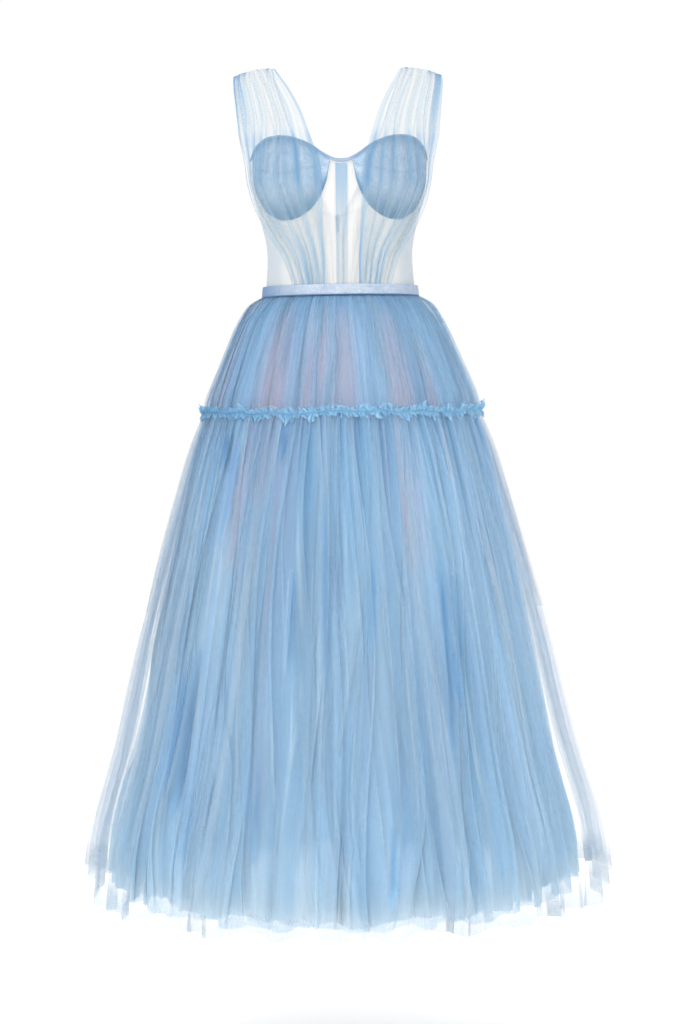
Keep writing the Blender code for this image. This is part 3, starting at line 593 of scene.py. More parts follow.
# Pale net of the straps, of the bodice drape and of the centre strip
STRAP_NET = tulle_material(
    "nylon_tulle_pale", ("#b6c7cb", "#84abca", "#4b83b4"), 0.85, 0.06, 0.30, 2.0, 9.0
)
# Firm power mesh of the corset: warm white, with a faint silk lustre
CORSET_MESH = tulle_material(
    "nylon_power_mesh", ("#e2e1de", "#c9cfd3", "#a9bac8"), 0.7, 0.2, 0.1, 1.6
)
# Tulle with glued flakes, laid over the foam of the cups
CUP_CLOTH = glitter_material(
    "glitter_tulle_on_foam", ("#88a6c2", "#9ab6cd", "#b3c6d6"), ("#b4b6d0", "#d6d2e4", "#a5bcd6"),
    1.7, "#507ea2"
)
# Ribbon with the same flakes, of the belt and of the neck binding
BELT_CLOTH = glitter_material(
    "glitter_ribbon", ("#98aabf", "#abbacb", "#b8c5d1"), ("#c2cadb", "#dddde4", "#aebfd4"),
    1.6, "#587da6"
)
# Dark blue polyester satin round the cord under the belt, which is put along the belt's shadow line
# as painted shadow, and the nude acetate of the slip
SHADOW_CORD_CLOTH = satin_material("satin_cord_painted_shadow", ("#285a8a", "#34699a"), 0.2, 0.6)
LINING_CLOTH = satin_material("acetate_lining_nude", ("#f6dcd6", "#f0d2ce"), 0.3, 0.4)
# Mesh tape of the concealed zip, closer than the net and nearly as clear
TAPE_MESH = tulle_material(
    "nylon_zip_tape_mesh", ("#e4eaee", "#cbd9e4", "#a5bacd"), 0.7, 0.15, 0.1, 1.6
)
# Blue enamel on the cast slider and its tab
ENAMEL = enamel_material("enamelled_zinc", ("#a9c4dd", "#bcd2e6"))


# Skirt

def fold_phase(angle, folds, seed):
    """Phase of the large folds round the skirt: even at the side seams and uneven between."""
    slow = 0.9 * np.sin(2 * angle) + 0.7 * np.cos(3 * angle) - 0.6 * np.sin(6 * angle)
    finer = 0.5 * np.cos((9 + 2 * seed) * angle) + 0.4 * np.sin((14 + 2 * seed) * angle)
    return folds * angle + slow + finer


def fold_strength(angle, seed):
    return 0.78 + 0.16 * np.sin(5 * angle + seed) + 0.12 * np.sin(13 * angle + 2.0 * seed)


def skirt_read(table, name, z):
    return read_table(table, SKIRT_COLUMNS, name, z)


def skirt_points(table, angle, z, move):
    """The oval section of the skirt at each height, moved out by move."""
    width = skirt_read(table, "half_width", z) + move
    depth = skirt_read(table, "depth", z) + move
    return np.stack([width * np.sin(angle), -depth * np.cos(angle), z], axis=-1)


def side_share(angle, reach_deg=15.0):
    """1 at the two side seams, falling to 0 within a short way round."""
    from_side = np.abs(np.abs(np.angle(np.exp(1j * angle))) - QUARTER)
    return np.exp(-((np.degrees(from_side) / reach_deg) ** 2))


def placed(table, names, z):
    """Each row of a table of marks, with how far down between its two ends the height z is."""
    for row in table:
        value = dict(zip(names, row))
        yield value, (value["z_top"] - z) / (value["z_top"] - value["z_low"])


def turn_from(angle, line):
    """The angle from a line, between minus and plus half a turn."""
    return np.angle(np.exp(1j * (angle - line)))


def crease_field(angle, z):
    """Depth in metres and deepening of colour of the listed creases.

    Each is a bell across its line, which runs straight between its two ends and fades at both.
    """
    depth = np.zeros(np.broadcast(angle, z).shape)
    deep = np.zeros_like(depth)
    radius = skirt_read(LOWER_TIER, "half_width", z)
    for value, along in placed(CREASES, CREASE_COLUMNS, z):
        line = between(value["angle_top"], value["angle_low"], along)
        turn = turn_from(angle, np.radians(line))
        fade = np.sin(math.pi * np.clip(along, 0, 1)) ** 0.6
        trough = fade * np.exp(-((turn * radius / (CREASE_SPREAD * value["width_mm"] * MM)) ** 2))
        depth += value["depth_mm"] * MM * trough
        # Deepening of the colour along the trough: doubled cloth and painted shade
        deep += value["deep"] * trough
    return depth, np.clip(deep, 0, 1)


def streak_field(angle, z):
    """Share of the dense cloth that thins out, from the listed streaks."""
    total = np.zeros(np.broadcast(angle, z).shape)
    for value, along in placed(STREAKS, STREAK_COLUMNS, z):
        turn = turn_from(angle, math.radians(value["angle"]))
        fade = np.sin(math.pi * np.clip(along, 0, 1)) ** 0.5
        across = bell(np.degrees(turn), 0, value["half_width_deg"])
        total = np.maximum(total, value["share"] * fade * across)
    return total


# Pleats: how unevenly they stand round a tier, the reach of a folded edge, and the steps of a hem
COARSE_SHIFT = 0.6
FINE_SHIFT = 0.20
EDGE_REACH = 0.28
TAB_STEEPNESS = 1.5
PINCH_HEIGHT = 0.009
# What folds, creases, the hem and the right side do to the colour and the cover of a ply. Folded
# edges are lightened as painted highlight, creases are deepened for doubled cloth and painted
# shade, and the sides are darkened, less on the right, as painted shade
WANDER_TONE = 0.12
EDGE_HIGHLIGHT_TONE = 0.55
CREASE_TONE = 0.85
RIGHT_SIDE_LESS_SHADE = 0.35
HEM_TONE = 0.30
HEM_TONE_HEIGHT = 0.07
PATCH_COVER = 0.25
CREASE_COVER = 0.7


def pleat_grid(layer, closed, start, stop):
    """Pleat numbers, heights from 0 to 1, and the angles of the pleats, which are uneven."""
    pleats = layer["pleats"]
    count = pleats * layer["per_pleat"] + (0 if closed else 1)
    s = np.arange(count) / layer["per_pleat"]
    turn = s / pleats
    shift = COARSE_SHIFT * uneven(turn, 0.0, layer["seed"], (3, 5, 8, 13), 0.0)
    shift = shift + FINE_SHIFT * uneven(turn, 0.0, layer["seed"] + 1, (21, 34, 41, 47), 0.0)
    shift = shift - shift[0]
    if not closed:
        shift = shift - shift[-1] * turn
    angle = start + (stop - start) * (s + shift) / pleats
    ss, vv = grid(s, layer["rows"])
    return ss, vv, np.broadcast_to(angle[:, None], ss.shape)


def laid_pleats(s, pleats, angle, overlap, span):
    """Where a pleat's cloth lies: x = p - A sin(p) along the row, with p the phase of the pleat.

    Where the overlap A is over 1 the cloth runs back under itself, as in a laid pleat.
    Returns the moved angle, the share outwards and the closeness to a folded edge.
    """
    phase = TURN * s
    moved = angle - overlap * np.sin(phase) * span / (TURN * pleats)
    edge = np.exp(-(((overlap * np.cos(phase) - 1) / EDGE_REACH) ** 2)) * ease(overlap, 0.8, 1.4)
    return moved, -np.sin(phase), edge


def hem_height(layer, angle, s):
    """Height of a hem: raised at the side seams, stepped from pleat to pleat, and slightly wavy."""
    tabs = uneven(angle / TURN, 0.0, layer["hem_seed"], layer["hem_counts"], 0.0)
    tabs = layer["tab"] * np.tanh(TAB_STEEPNESS * tabs)
    slant = layer["slant"] * ((s * 0.5) % 1.0 - 0.5)
    rise = layer["side_rise"] * side_share(angle, layer["side_reach_deg"])
    return layer["hem"] + rise + tabs * 0.5 + slant


def skirt_tier(table, layer, closed=True, start=-math.pi, stop=math.pi):
    """One ply of gathered net on the skirt form, from its hem to its top seam.

    Returns its points, their angles and heights, and the values cover and tone.
    """
    s, v, angle = pleat_grid(layer, closed, start, stop)
    turn = angle / TURN
    seed = layer["seed"]
    wander = uneven(turn, v, seed + 2, layer["counts"], 1.1)
    overlap = between(layer["overlap_low"], layer["overlap_top"], v**1.5)
    overlap = np.clip(overlap + layer["overlap_change"] * wander, 0.0, None)
    sway = uneven(turn, v, seed + 3, (3, 8, 15, 24), 0.9) * (1 - v) * v * 4
    angle = angle + layer["sway"] * sway / skirt_read(table, "half_width", np.array(TIER_SEAM))
    moved, outward, edge = laid_pleats(s, layer["pleats"], angle, overlap, stop - start)
    low = hem_height(layer, moved, s)
    z = between(low, layer["top"], v)

    fold = np.cos(fold_phase(moved, layer["folds"], layer["fold_seed"]))
    large = skirt_read(table, "fold", z) * fold
    large = large * fold_strength(moved, layer["fold_seed"]) * layer["fold_share"]
    gather = np.clip(1 - v, 0.0, 1.0) ** 0.6
    depth = between(layer["depth_top"], layer["depth_low"], gather) * MM
    crease, deep = crease_field(moved, z) if layer["creases"] else (0.0, 0.0)
    inset = between(layer["inset_top"], layer["inset_low"], (1 - v) ** 0.75) * MM
    inset = inset + layer["inset_right"] * MM * (1 - v) * np.clip(np.sin(moved), 0, 1) ** 2
    pinch = layer["pinch"] * MM * (1 - ease(layer["top"] - z, 0.0, PINCH_HEIGHT))
    points = skirt_points(table, moved, z, large + depth * outward - inset - crease - pinch)

    right = np.sin(moved)
    # Folded edges are lightened: painted highlight. Crease lines are deepened: doubled cloth and
    # painted shade
    tone = layer["tone"] + WANDER_TONE * wander - EDGE_HIGHLIGHT_TONE * edge + CREASE_TONE * deep
    # Near the top seam the tone darkens, and the inward plies of each gather are darkened: painted
    # shade
    tone = tone + v**5 * (layer["tone_top"] * v + layer["gather"] * (0.2 - outward))
    # The sides are darkened, less on the right: painted shade
    tone = tone + layer["tone_side"] * right ** 2 * (1 - RIGHT_SIDE_LESS_SHADE * right)
    tone = tone - HEM_TONE * (1 - ease(z - low, 0.0, HEM_TONE_HEIGHT)) * (layer["fringe"] > 0)
    patches = uneven(turn, v, seed + 4, (7, 19, 31, 44), 0.8)
    cover = layer["cover"] * (1 + PATCH_COVER * patches)
    cover = cover * (1 + layer["edge_cover"] * edge)
    cover = cover * (1 + layer["left_cover"] * np.clip(-right, 0.0, 1.0) ** 3)
    cover = cover + (1 - cover) * CREASE_COVER * deep
    cover = cover + layer["fringe"] * (1 - ease(z - low, 0.0, layer["fringe_height"]))
    cover = cover * (1 - layer["hem_fade"] * (1 - ease(z - low, 0.0, layer["fade_height"])))
    values = {"cover": np.clip(cover, 0.02, 1.0), "tone": np.clip(tone, 0.0, 1.0)}
    return points, moved, z, values


# The plies, one in each column. Overlaps are in pleat phases, depths, insets and pinches in mm,
# and heights in metres. A ply's inset keeps it inside the ply before it.
LAYER_NAMES = ("outer", "middle", "inner", "under", "upper", "upper_inner")
LAYER_TABLE = (
    ("pleats", 60, 92, 110, 56, 120, 132),
    ("per_pleat", 14, 12, 10, 9, 10, 10),
    ("rows", 60, 64, 60, 72, 34, 34),
    ("seed", 11, 23, 37, 51, 67, 167),
    ("counts", (4, 9, 17, 26, 33), (5, 12, 21, 37, 46), (6, 14, 25, 39, 52), (5, 11, 19, 28),
     (6, 15, 27, 44, 61), (7, 16, 31, 47, 58)),
    ("overlap_low", 0.6, 0.9, 1.1, 1.2, 1.6, 1.6),
    ("overlap_top", 2.2, 2.6, 2.4, 1.2, 2.6, 2.6),
    ("overlap_change", 0.5, 1.2, 1.2, 1.0, 1.3, 1.3),
    ("sway", 0.008, 0.018, 0.020, 0.006, 0.005, 0.005),
    ("folds", 44, 44, 44, 14, 40, 40),
    ("fold_seed", 2, 2, 2, 3, 1, 1),
    ("fold_share", 1.0, 0.8, 0.6, 1.0, 1.0, 0.6),
    ("depth_top", 0.6, 0.8, 0.8, 0.3, 0.5, 0.5),
    ("depth_low", 4.0, 4.5, 4.5, 3.0, 1.4, 1.4),
    ("creases", True, True, True, False, False, False),
    ("inset_top", 0.0, 5.0, 9.0, 0.0, 0.0, 1.5),
    ("inset_low", 0.0, 37.0, 49.0, 0.0, 0.0, 7.0),
    ("inset_right", 0.0, 14.0, 14.0, 0.0, 0.0, 0.0),
    ("pinch", 0.0, 0.0, 0.0, 0.0, 8.0, 8.0),
    ("tone", 0.32, 0.26, 0.38, 0.50, 0.36, 0.41),
    ("tone_top", 0.3, 0.3, 0.3, 0.0, 0.3, 0.3),
    # tone_side: painted shade on the two sides, less on the right
    ("tone_side", 0.0, 0.0, 0.0, 0.0, 0.10, 0.40),
    # gather: painted shade on the inward plies of the gathers near the top seam
    ("gather", 0.2, 0.45, 0.4, 0.0, 0.35, 0.35),
    ("cover", 0.12, 0.30, 0.53, 0.90, 0.13, 0.26),
    ("edge_cover", 0.8, 0.7, 0.4, 0.0, 0.6, 0.6),
    ("left_cover", 0.6, 0.0, 0.0, 0.0, 0.0, 0.0),
    ("fringe", 0.40, 0.32, 0.44, 0.0, 0.0, 0.0),
    ("fringe_height", 0.05, 0.20, 0.24, 0.07, 0.07, 0.07),
    ("hem_fade", 0.0, 0.0, 0.25, 0.90, 0.0, 0.0),
    ("fade_height", 0.05, 0.05, 0.03, 0.07, 0.05, 0.05),
    ("top", TIER_SEAM, TIER_SEAM, TIER_SEAM, WAIST_SEAM, WAIST_SEAM, WAIST_SEAM),
    ("hem", HEM - 0.014, HEM - 0.009, HEM - 0.004, UNDERSKIRT_HEM, TIER_SEAM, TIER_SEAM),
    ("side_rise", 0.042, 0.024, 0.034, 0.0, 0.0, 0.0),
    ("side_reach_deg", 15.0, 30.0, 38.0, 15.0, 15.0, 15.0),
    ("tab", 0.010, 0.010, 0.012, 0.016, 0.0, 0.0),
    ("slant", 0.0, 0.002, 0.002, 0.010, 0.0, 0.0),
    ("hem_seed", 5, 7, 9, 13, 5, 5),
    ("hem_counts", (11, 19, 27), (13, 22, 31), (9, 17, 29), (8, 15, 27, 38), (11,), (11,)),
)
LAYERS = {name: {row[0]: row[1 + k] for row in LAYER_TABLE} for k, name in enumerate(LAYER_NAMES)}


def lower_tier():
    plies = (("outer", OUTER_NET, (4.4, 0.75)), ("middle", BLUE_NET, (4.8, 0.75)),
             ("inner", BLUE_NET, (4.0, 0.72)))
    for name, finish, cut in plies:
        points, _, _, values = skirt_tier(LOWER_TIER, LAYERS[name])
        made = add_sheet(f"{name}_tulle", points, cut, finish, values, closed_u=True)
        if name == "outer":
            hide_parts("lower_tier_front", "lower_tier_back")


def underskirt():
    cut = (2.9, 0.90)
    points, angle, z, values = skirt_tier(UNDERSKIRT, LAYERS["under"])
    thin = streak_field(angle, z)
    values["cover"] = np.clip(values["cover"] - 0.35 * thin, 0.1, 0.97)
    values["blush"] = np.clip(1.4 * thin, 0.0, 1.0)
    made = add_sheet("underskirt_tulle", points, cut, DENSE_NET, values,
                     closed_u=True)
    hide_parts("underskirt_front", "underskirt_back")


def lining():
    """Nude slip: a smooth tube with a few soft waves that grow towards its hem."""
    angle = np.linspace(-math.pi, math.pi, 144, endpoint=False)
    aa, vv = grid(angle, 40)
    z = between(LINING_HEM, WAIST_SEAM, vv)
    wave = 4 * MM * (1 - vv) ** 1.5 * uneven(aa / TURN, vv, 71, (4, 7, 9), 0.3)
    points = skirt_points(LINING, aa, z, wave)
    cut = (1.5, 0.785)
    made = add_sheet("lining_slip", points, cut, LINING_CLOTH, {}, closed_u=True)
    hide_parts("lining_front", "lining_back")


def upper_tier():
    """Two plies from the waist to the ruffle, open at the centre back for the zip."""
    edge = math.pi - ZIP_TO_TIER / column(UPPER_TIER, SKIRT_COLUMNS, "half_width")[0]
    cut = (2.5, 0.185)
    for name in ("upper", "upper_inner"):
        points, _, _, values = skirt_tier(UPPER_TIER, LAYERS[name], False, -edge, edge)
        made = add_sheet(f"{name}_tulle", points, cut, UPPER_NET, values)
        if name == "upper":
            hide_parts("upper_tier_front", "upper_tier_back_left", "upper_tier_back_right")


FRILL_COLUMNS = ("name", "way", "height_mm", "start_mm", "seed", "cut_length", "cut_width")
FRILLS = (
    ("ruffle_upper", 1, 9.5, 4.4, 81, 1.65, 0.0115),
    ("ruffle_middle", 1, 7.0, 6.4, 131, 1.50, 0.0100),
    ("ruffle_lower", -1, 10.0, 4.8, 91, 1.65, 0.0115),
)
FRILL_POINTS_ROUND = 1400
FRILL_ROWS = 9


def ruffle():
    """Gathered heading over the tier seam: crumpled frills that leave one stitched line.

    The distance outwards and the height of a frill's free edge are sums of sines of whole counts.
    """
    angle = np.linspace(-math.pi, math.pi, FRILL_POINTS_ROUND, endpoint=False)
    aa, vv = grid(angle, FRILL_ROWS)
    turn = aa / TURN
    bend = 1.5 * np.sin(5 * aa + 1.0) + 1.3 * uneven(turn, 0.0, 83, (11, 17, 24), 0.0)
    for row in FRILLS:
        frill = dict(zip(FRILL_COLUMNS, row))
        way = frill["way"]
        seed = frill["seed"]
        cut = (frill["cut_length"], frill["cut_width"])
        away = vv if way > 0 else 1 - vv
        coarse = uneven(turn, 0.0, seed, (31, 36, 43, 57), 0.0)
        fine = uneven(turn, away, seed + 1, (121, 149, 173, 197), 0.8)
        finest = uneven(turn, away, seed + 2, (239, 277, 311), 1.2)
        clump = 0.90 + 0.30 * uneven(turn, 0.0, seed + 3, (29, 37, 47), 0.0)
        clump = np.clip(clump, 0.55, 1.35)
        out = frill["start_mm"] + away * (1.2 * coarse + 2.2 * fine * clump + 1.6 * finest)
        out = np.clip(out + 1.4 * away, 2.5, 11.5)
        tall = frill["height_mm"] + 0.9 * coarse + 1.0 * fine + 1.2 * finest
        height = way * away * tall * clump
        slide = aa + 0.012 * away * uneven(turn, away, seed + 4, (83, 109, 131, 157), 0.8)
        points = skirt_points(UPPER_TIER, slide, np.full_like(height, TIER_SEAM), out * MM)
        points[..., 2] = TIER_SEAM + (bend + height) * MM
        # Tone: crumples that lie further in are darker and those further out lighter, as painted
        # shade; darker towards the stitched line; the left side darker, as painted shade
        tone = 0.54 - 0.36 * fine * away - 0.22 * finest * away + 0.25 * (1 - away) ** 2
        tone = tone + 0.30 * np.clip(-np.sin(aa), 0.0, 1.0) ** 2
        values = {"cover": np.clip(0.66 + 0.1 * coarse - 0.30 * away**2, 0.15, 1.0),
                  "tone": np.clip(tone, 0, 1)}
        made = add_sheet(frill["name"], points, cut, RUFFLE_NET, values,
                         closed_u=True)
        if frill["name"] == "ruffle_upper":
            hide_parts("ruffle_front", "ruffle_back")


# Bodice

def bodice_section(z, name):
    return read_table(BODICE, BODICE_COLUMNS, name, z)


def dome(angle, z):
    """Rise of the two cup domes above the oval section."""
    total = np.zeros(np.broadcast(angle, z).shape)
    for side in (-1, 1):
        across = (angle - side * DOME_ANGLE) / DOME_ANGLE_REACH
        along = (z - DOME_HEIGHT) / DOME_HEIGHT_REACH
        total = total + DOME_RISE * np.clip(1 - across**2 - along**2, 0.0, None) ** 1.5
    return total


def bodice_form(angle, z, dome_share=1.0):
    angle, z = np.broadcast_arrays(np.asarray(angle, dtype=float), np.asarray(z, dtype=float))
    front = bodice_section(z, "front_depth")
    depth = np.where(np.cos(angle) > 0, front, bodice_section(z, "back_depth"))
    rise = dome_share * dome(angle, z)
    x = (bodice_section(z, "half_width") + 0.3 * rise) * np.sin(angle)
    return np.stack([x, -(depth + rise) * np.cos(angle), z], axis=-1)


def angle_of_x(x, z):
    return np.arcsin(np.clip(np.asarray(x) / bodice_section(z, "half_width"), -0.9999, 0.9999))


def neckline(x):
    return read_table(NECKLINE, NECKLINE_COLUMNS, "z", np.abs(x), by="x")


def neckline_at_angle(angle):
    """Height of the neckline at an angle, found in rounds: the width there depends on it."""
    z = np.full(np.shape(angle), -0.14)
    for _ in range(12):
        z = neckline(bodice_section(z, "half_width") * np.sin(angle))
    return z


def mirror_x(points, side):
    points = points.copy()
    points[..., 0] *= side
    return points


def side_name(side):
    return "right" if side > 0 else "left"


def part_name(facing):
    return "front" if facing < 0 else "back"


BONING_CHANNEL = (0.0095, 0.0102, 0.0168, 0.0175)


def corset_panel(part, side, points, values, cut):
    """One panel of the mesh, mirrored to its side, in the place of its solid."""
    made = add_sheet(f"corset_{part}_{side_name(side)}", mirror_x(points, side), cut, CORSET_MESH,
                     values, flip=side < 0)
    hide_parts(f"base_{part}_{side_name(side)}")


def base_panels(side):
    """Corset mesh: front panel with its sweetheart top, back panel with its V, boning channels."""
    angle = np.linspace(SEAM_GAP / 2 / FRONT_SEAM_RADIUS,
                        QUARTER - SEAM_GAP / 2 / SIDE_SEAM_RADIUS, 70)
    aa, vv = grid(angle, 48)
    points = bodice_form(aa, between(BELT_BOTTOM, neckline_at_angle(aa), vv), 0.9)
    x = points[..., 0]
    channel = ease(x, *BONING_CHANNEL[:2]) * (1 - ease(x, *BONING_CHANNEL[2:]))
    seam = bell(aa, QUARTER, 0.05) + 0.5 * bell(x, 0.0, 0.002)
    # Towards the side seam the front panel is drawn denser and greyer: painted shade
    flank_shade = ease(aa, 0.60, 1.10)
    values = {"cover": np.clip(0.42 + 0.16 * channel + 0.34 * flank_shade + 0.2 * seam, 0, 1),
              "tone": 0.12 + 0.62 * flank_shade + 0.3 * seam}
    corset_panel("front", side, points, values, (0.195, 0.235))

    u, v = grid(np.linspace(0.0, 1.0, 60), 40)
    top = between(UNDERARM, BACK_NECK, 0.35 * ease(u, 0.0, 1.0) + 0.65 * u)
    z = between(BELT_BOTTOM, top, v)
    edge = math.pi - (ZIP_WIDTH / 2 + SEAM_GAP) / bodice_section(z, "half_width")
    points = bodice_form(between(QUARTER + SEAM_GAP / 2 / SIDE_SEAM_RADIUS, edge, u), z)
    rim = ease(v, 0.965, 0.975) + ease(u, 0.965, 0.975)
    # Towards the side seam the back panel is drawn denser and greyer: painted shade
    flank_shade = 1 - ease(u, 0.25, 0.60)
    values = {"cover": np.clip(0.18 + 0.40 * flank_shade + 0.1 * rim, 0, 1),
              "tone": 0.15 + 0.5 * flank_shade + 0.35 * np.clip(rim, 0, 1)}
    corset_panel("back", side, points, values, (0.180, 0.215))


CUP_POINTS_ACROSS = 90
CUP_FACE_ROWS = 44
CUP_RIM_ROWS = 6
CUP_RIM_OVERHANG = 0.0012
CUP_SEAM_DEPTH = 0.0009
NORMAL_STEP = 1e-4


def cup(side):
    """Padded cup: two faces on the dome that meet in a rounded rim, with one cross seam.

    Both faces come from one closed profile in v, so the cup is a tube whose rings run from the
    inner corner to the outer corner.
    """
    edge_z = column(CUP_EDGE, CUP_EDGE_COLUMNS, "z")
    edge_angle = angle_of_x(column(CUP_EDGE, CUP_EDGE_COLUMNS, "x"), edge_z)
    angle = np.linspace(CUP_START, CUP_STOP, CUP_POINTS_ACROSS)
    climb = np.linspace(0.0, 1.0, CUP_FACE_ROWS)
    turn = np.linspace(0.0, math.pi, CUP_RIM_ROWS + 2)[1:-1]
    flat = np.zeros(CUP_FACE_ROWS)
    v = np.concatenate([climb, np.ones(CUP_RIM_ROWS), climb[::-1], np.zeros(CUP_RIM_ROWS)])
    layer = np.concatenate([flat + 1, 0.5 + 0.5 * np.cos(turn), flat, 0.5 - 0.5 * np.cos(turn)])
    past = np.concatenate([flat, np.sin(turn), flat, -np.sin(turn)])
    aa, vv = np.meshgrid(angle, v, indexing="ij")
    low = smooth_read(edge_angle, edge_z, aa)
    z = between(low, neckline_at_angle(aa), vv) + past * CUP_RIM_OVERHANG
    seam_v = 0.60 + 0.05 * np.cos((aa - CUP_START) / (CUP_STOP - CUP_START) * TURN)
    seam = bell(vv, seam_v, 0.012) * layer
    across = bodice_form(aa + NORMAL_STEP, z) - bodice_form(aa - NORMAL_STEP, z)
    along = bodice_form(aa, z + NORMAL_STEP) - bodice_form(aa, z - NORMAL_STEP)
    normal = unit(np.cross(across, along))
    lift = LAYER_GAP + SEAM_GAP + (CUP_PADDING - SEAM_GAP) * layer - CUP_SEAM_DEPTH * seam
    rings = mirror_x(bodice_form(aa, z) + normal * lift[..., None], side)
    if side < 0:
        rings = rings[::-1]
    # Painted shade: the cup is deepened at its top and bottom edges and towards its outer side; the
    # cross seam is drawn as a darker line
    shade = 0.75 * bell(vv, 1.0, 0.10) + 0.95 * bell(vv, 0.0, 0.24) + 0.4 * seam
    shade = np.clip(shade + 0.35 * bell(aa, CUP_STOP, 0.12), 0, 1)
    made = add_tube(f"padded_cup_{side_name(side)}", rings, CUP_CLOTH,
                    {"shade": shade if side > 0 else shade[::-1]})
    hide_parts(f"cup_{side_name(side)}")


BAND_ROUNDNESS = 0.45


def band_rings(angle, middle_z, half_height, inner, outer, sides=20):
    """Rings of a band on the bodice form: a flattened round section, carried round the body."""
    turn = np.linspace(0.0, TURN, sides, endpoint=False)
    aa, tt = np.meshgrid(angle, turn, indexing="ij")
    out = np.sign(np.cos(tt)) * np.abs(np.cos(tt)) ** BAND_ROUNDNESS
    up = np.sign(np.sin(tt)) * np.abs(np.sin(tt)) ** BAND_ROUNDNESS
    z = np.broadcast_to(np.asarray(middle_z), angle.shape)[:, None]
    z = z + np.broadcast_to(np.asarray(half_height), angle.shape)[:, None] * up
    points = bodice_form(aa, z)
    normal = np.stack([np.sin(aa), -np.cos(aa), np.zeros_like(aa)], axis=-1)
    lift = (inner + outer) / 2 + (outer - inner) / 2 * out
    return points + normal * lift[..., None]


def trims():
    """Neck binding, belt and the dark cord under it, which stands for the belt's shadow line:
    painted shadow.
    """
    angle = np.linspace(-QUARTER, QUARTER, 260)
    centre = 1 - ease(np.abs(angle), 0.10, 0.24)
    height = 0.0034 + 0.0026 * centre
    middle = neckline_at_angle(angle) + 2 * SEAM_GAP + height / 2
    proud = LAYER_GAP + CUP_PADDING * (1 - ease(np.abs(angle), 1.15, 1.45))
    rings = band_rings(angle, middle, height / 2, -TULLE, proud[:, None])
    turned = np.full(rings.shape[:2], 0.45)
    binding = add_tube("binding", rings, BELT_CLOTH, {"shade": turned})
    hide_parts("neck_binding")
    opening = (ZIP_WIDTH / 2 + SEAM_GAP) / BELT_RADIUS
    angle = np.linspace(-math.pi + opening, math.pi - opening, 320)
    under = LAYER_GAP + TULLE + 2 * SEAM_GAP + BELT_CLEARANCE
    middle = (BELT_TOP + BELT_BOTTOM) / 2
    half_height = (BELT_TOP - BELT_BOTTOM) / 2
    rings = band_rings(angle, middle, half_height, under, under + BELT_THICKNESS, 28)
    # Painted shade: the belt deepens towards its two ends, more on the left
    turned = np.abs(np.sin(angle)) ** 3 * (0.70 - 0.35 * np.sin(angle))
    turned = np.broadcast_to(turned[:, None], rings.shape[:2])
    band = add_tube("waist_belt", rings, BELT_CLOTH, {"shade": turned})
    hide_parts("belt")
    # A dark cord along the belt's lower edge, where its shadow line falls: painted shadow
    rings = band_rings(angle, BELT_BOTTOM - SHADOW_CORD_HALF_HEIGHT, SHADOW_CORD_HALF_HEIGHT,
                       under + 0.0008, under + 0.0036, 12)
    shadow_cord = add_tube("waist_shadow_cord", rings, SHADOW_CORD_CLOTH)


def centre_strip():
    """Blue strip over the centre-front seam, a little raised along its two stitched edges."""
    u, v = grid(np.linspace(-1.0, 1.0, 25), 60)
    z = between(BELT_BOTTOM, CENTRE_DIP, v)
    angle = u * STRIP_WIDTH / 2 / bodice_section(z, "half_width")
    points = bodice_form(angle, z)
    edge = bell(np.abs(u), 0.86, 0.06)
    points[..., 1] -= 2 * SEAM_GAP + TULLE - 0.0006 * edge
    values = {"cover": 0.26 + 0.42 * ease(v, 0.3, 1.0) + 0.2 * bell(np.abs(u), 1.0, 0.12),
              "tone": 0.36 + 0.2 * ease(v, 0.5, 1.0)}
    cut = (STRIP_WIDTH, 0.203)
    made = add_sheet("centre_front_strip", points, cut, STRAP_NET, values)
    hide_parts("centre_strip")


def strap_surface(facing, u, v):
    """The smooth drape of a strap: u from its inner to its outer edge, v from shoulder to waist.

    Above the underarm the cloth hangs free between its two edges with a bulge outwards, and
    below it the cloth lies on the bodice form, just outside the cups.
    """
    place = np.linspace(0.0, 1.0, len(STRAP))
    part = part_name(facing)

    def read(name):
        return smooth_read(place, column(STRAP, STRAP_COLUMNS, name), v)

    x_inner = read(f"x_inner_{part}")
    x_outer = read(f"x_outer_{part}")
    inner = np.stack([x_inner, facing * read(f"y_inner_{part}"), read("z_inner")], axis=-1)
    outer = np.stack([x_outer, facing * read("y_outer"), read("z_outer")], axis=-1)
    free = between(inner, outer, u[..., None])
    bulge = 4 * u * (1 - u)
    down = ease(v, 0.0, 0.25)
    free[..., 1] += facing * bulge * STRAP_BULGE * down
    free[..., 2] += bulge * STRAP_CROWN * (1 - down)
    z = between(inner[..., 2], outer[..., 2], u)
    spread = np.maximum(read("spread"), 1.0)
    angle = between(angle_of_x(x_inner, z), angle_of_x(x_outer / spread, z), u)
    if facing > 0:
        angle = math.pi - angle
    laid = bodice_form(angle, np.clip(z, BELT_BOTTOM, BODICE[0][0]))
    laid[..., :2] *= (1 + (spread - 1) * u**2)[..., None]
    out = unit(np.stack([laid[..., 0], laid[..., 1], np.zeros_like(z)], axis=-1))
    on_base = LAYER_GAP + TULLE / 2
    over_cup = 2 * LAYER_GAP + CUP_PADDING + TULLE
    above = ease(z, -0.315, -0.262) if facing < 0 else 0.15 * ease(z, -0.344, -0.300)
    laid = laid + out * (between(on_base, over_cup, above) + STRAP_CLEARANCE)[..., None]
    return between(free, laid, np.clip(read("on_form"), 0.0, 1.0)[..., None])


STRAP_PLEATS = 7
STRAP_POINTS_PER_PLEAT = 20
STRAP_ROWS = 120

# Tucks at the shoulder seam, where the net is bunched, and how far they run down
PUCKER_COLUMNS = ("u", "reach", "length")
PUCKERS = ((0.14, 0.09, 0.045), (0.40, 0.04, 0.016), (0.74, 0.10, 0.045), (0.95, 0.09, 0.080))

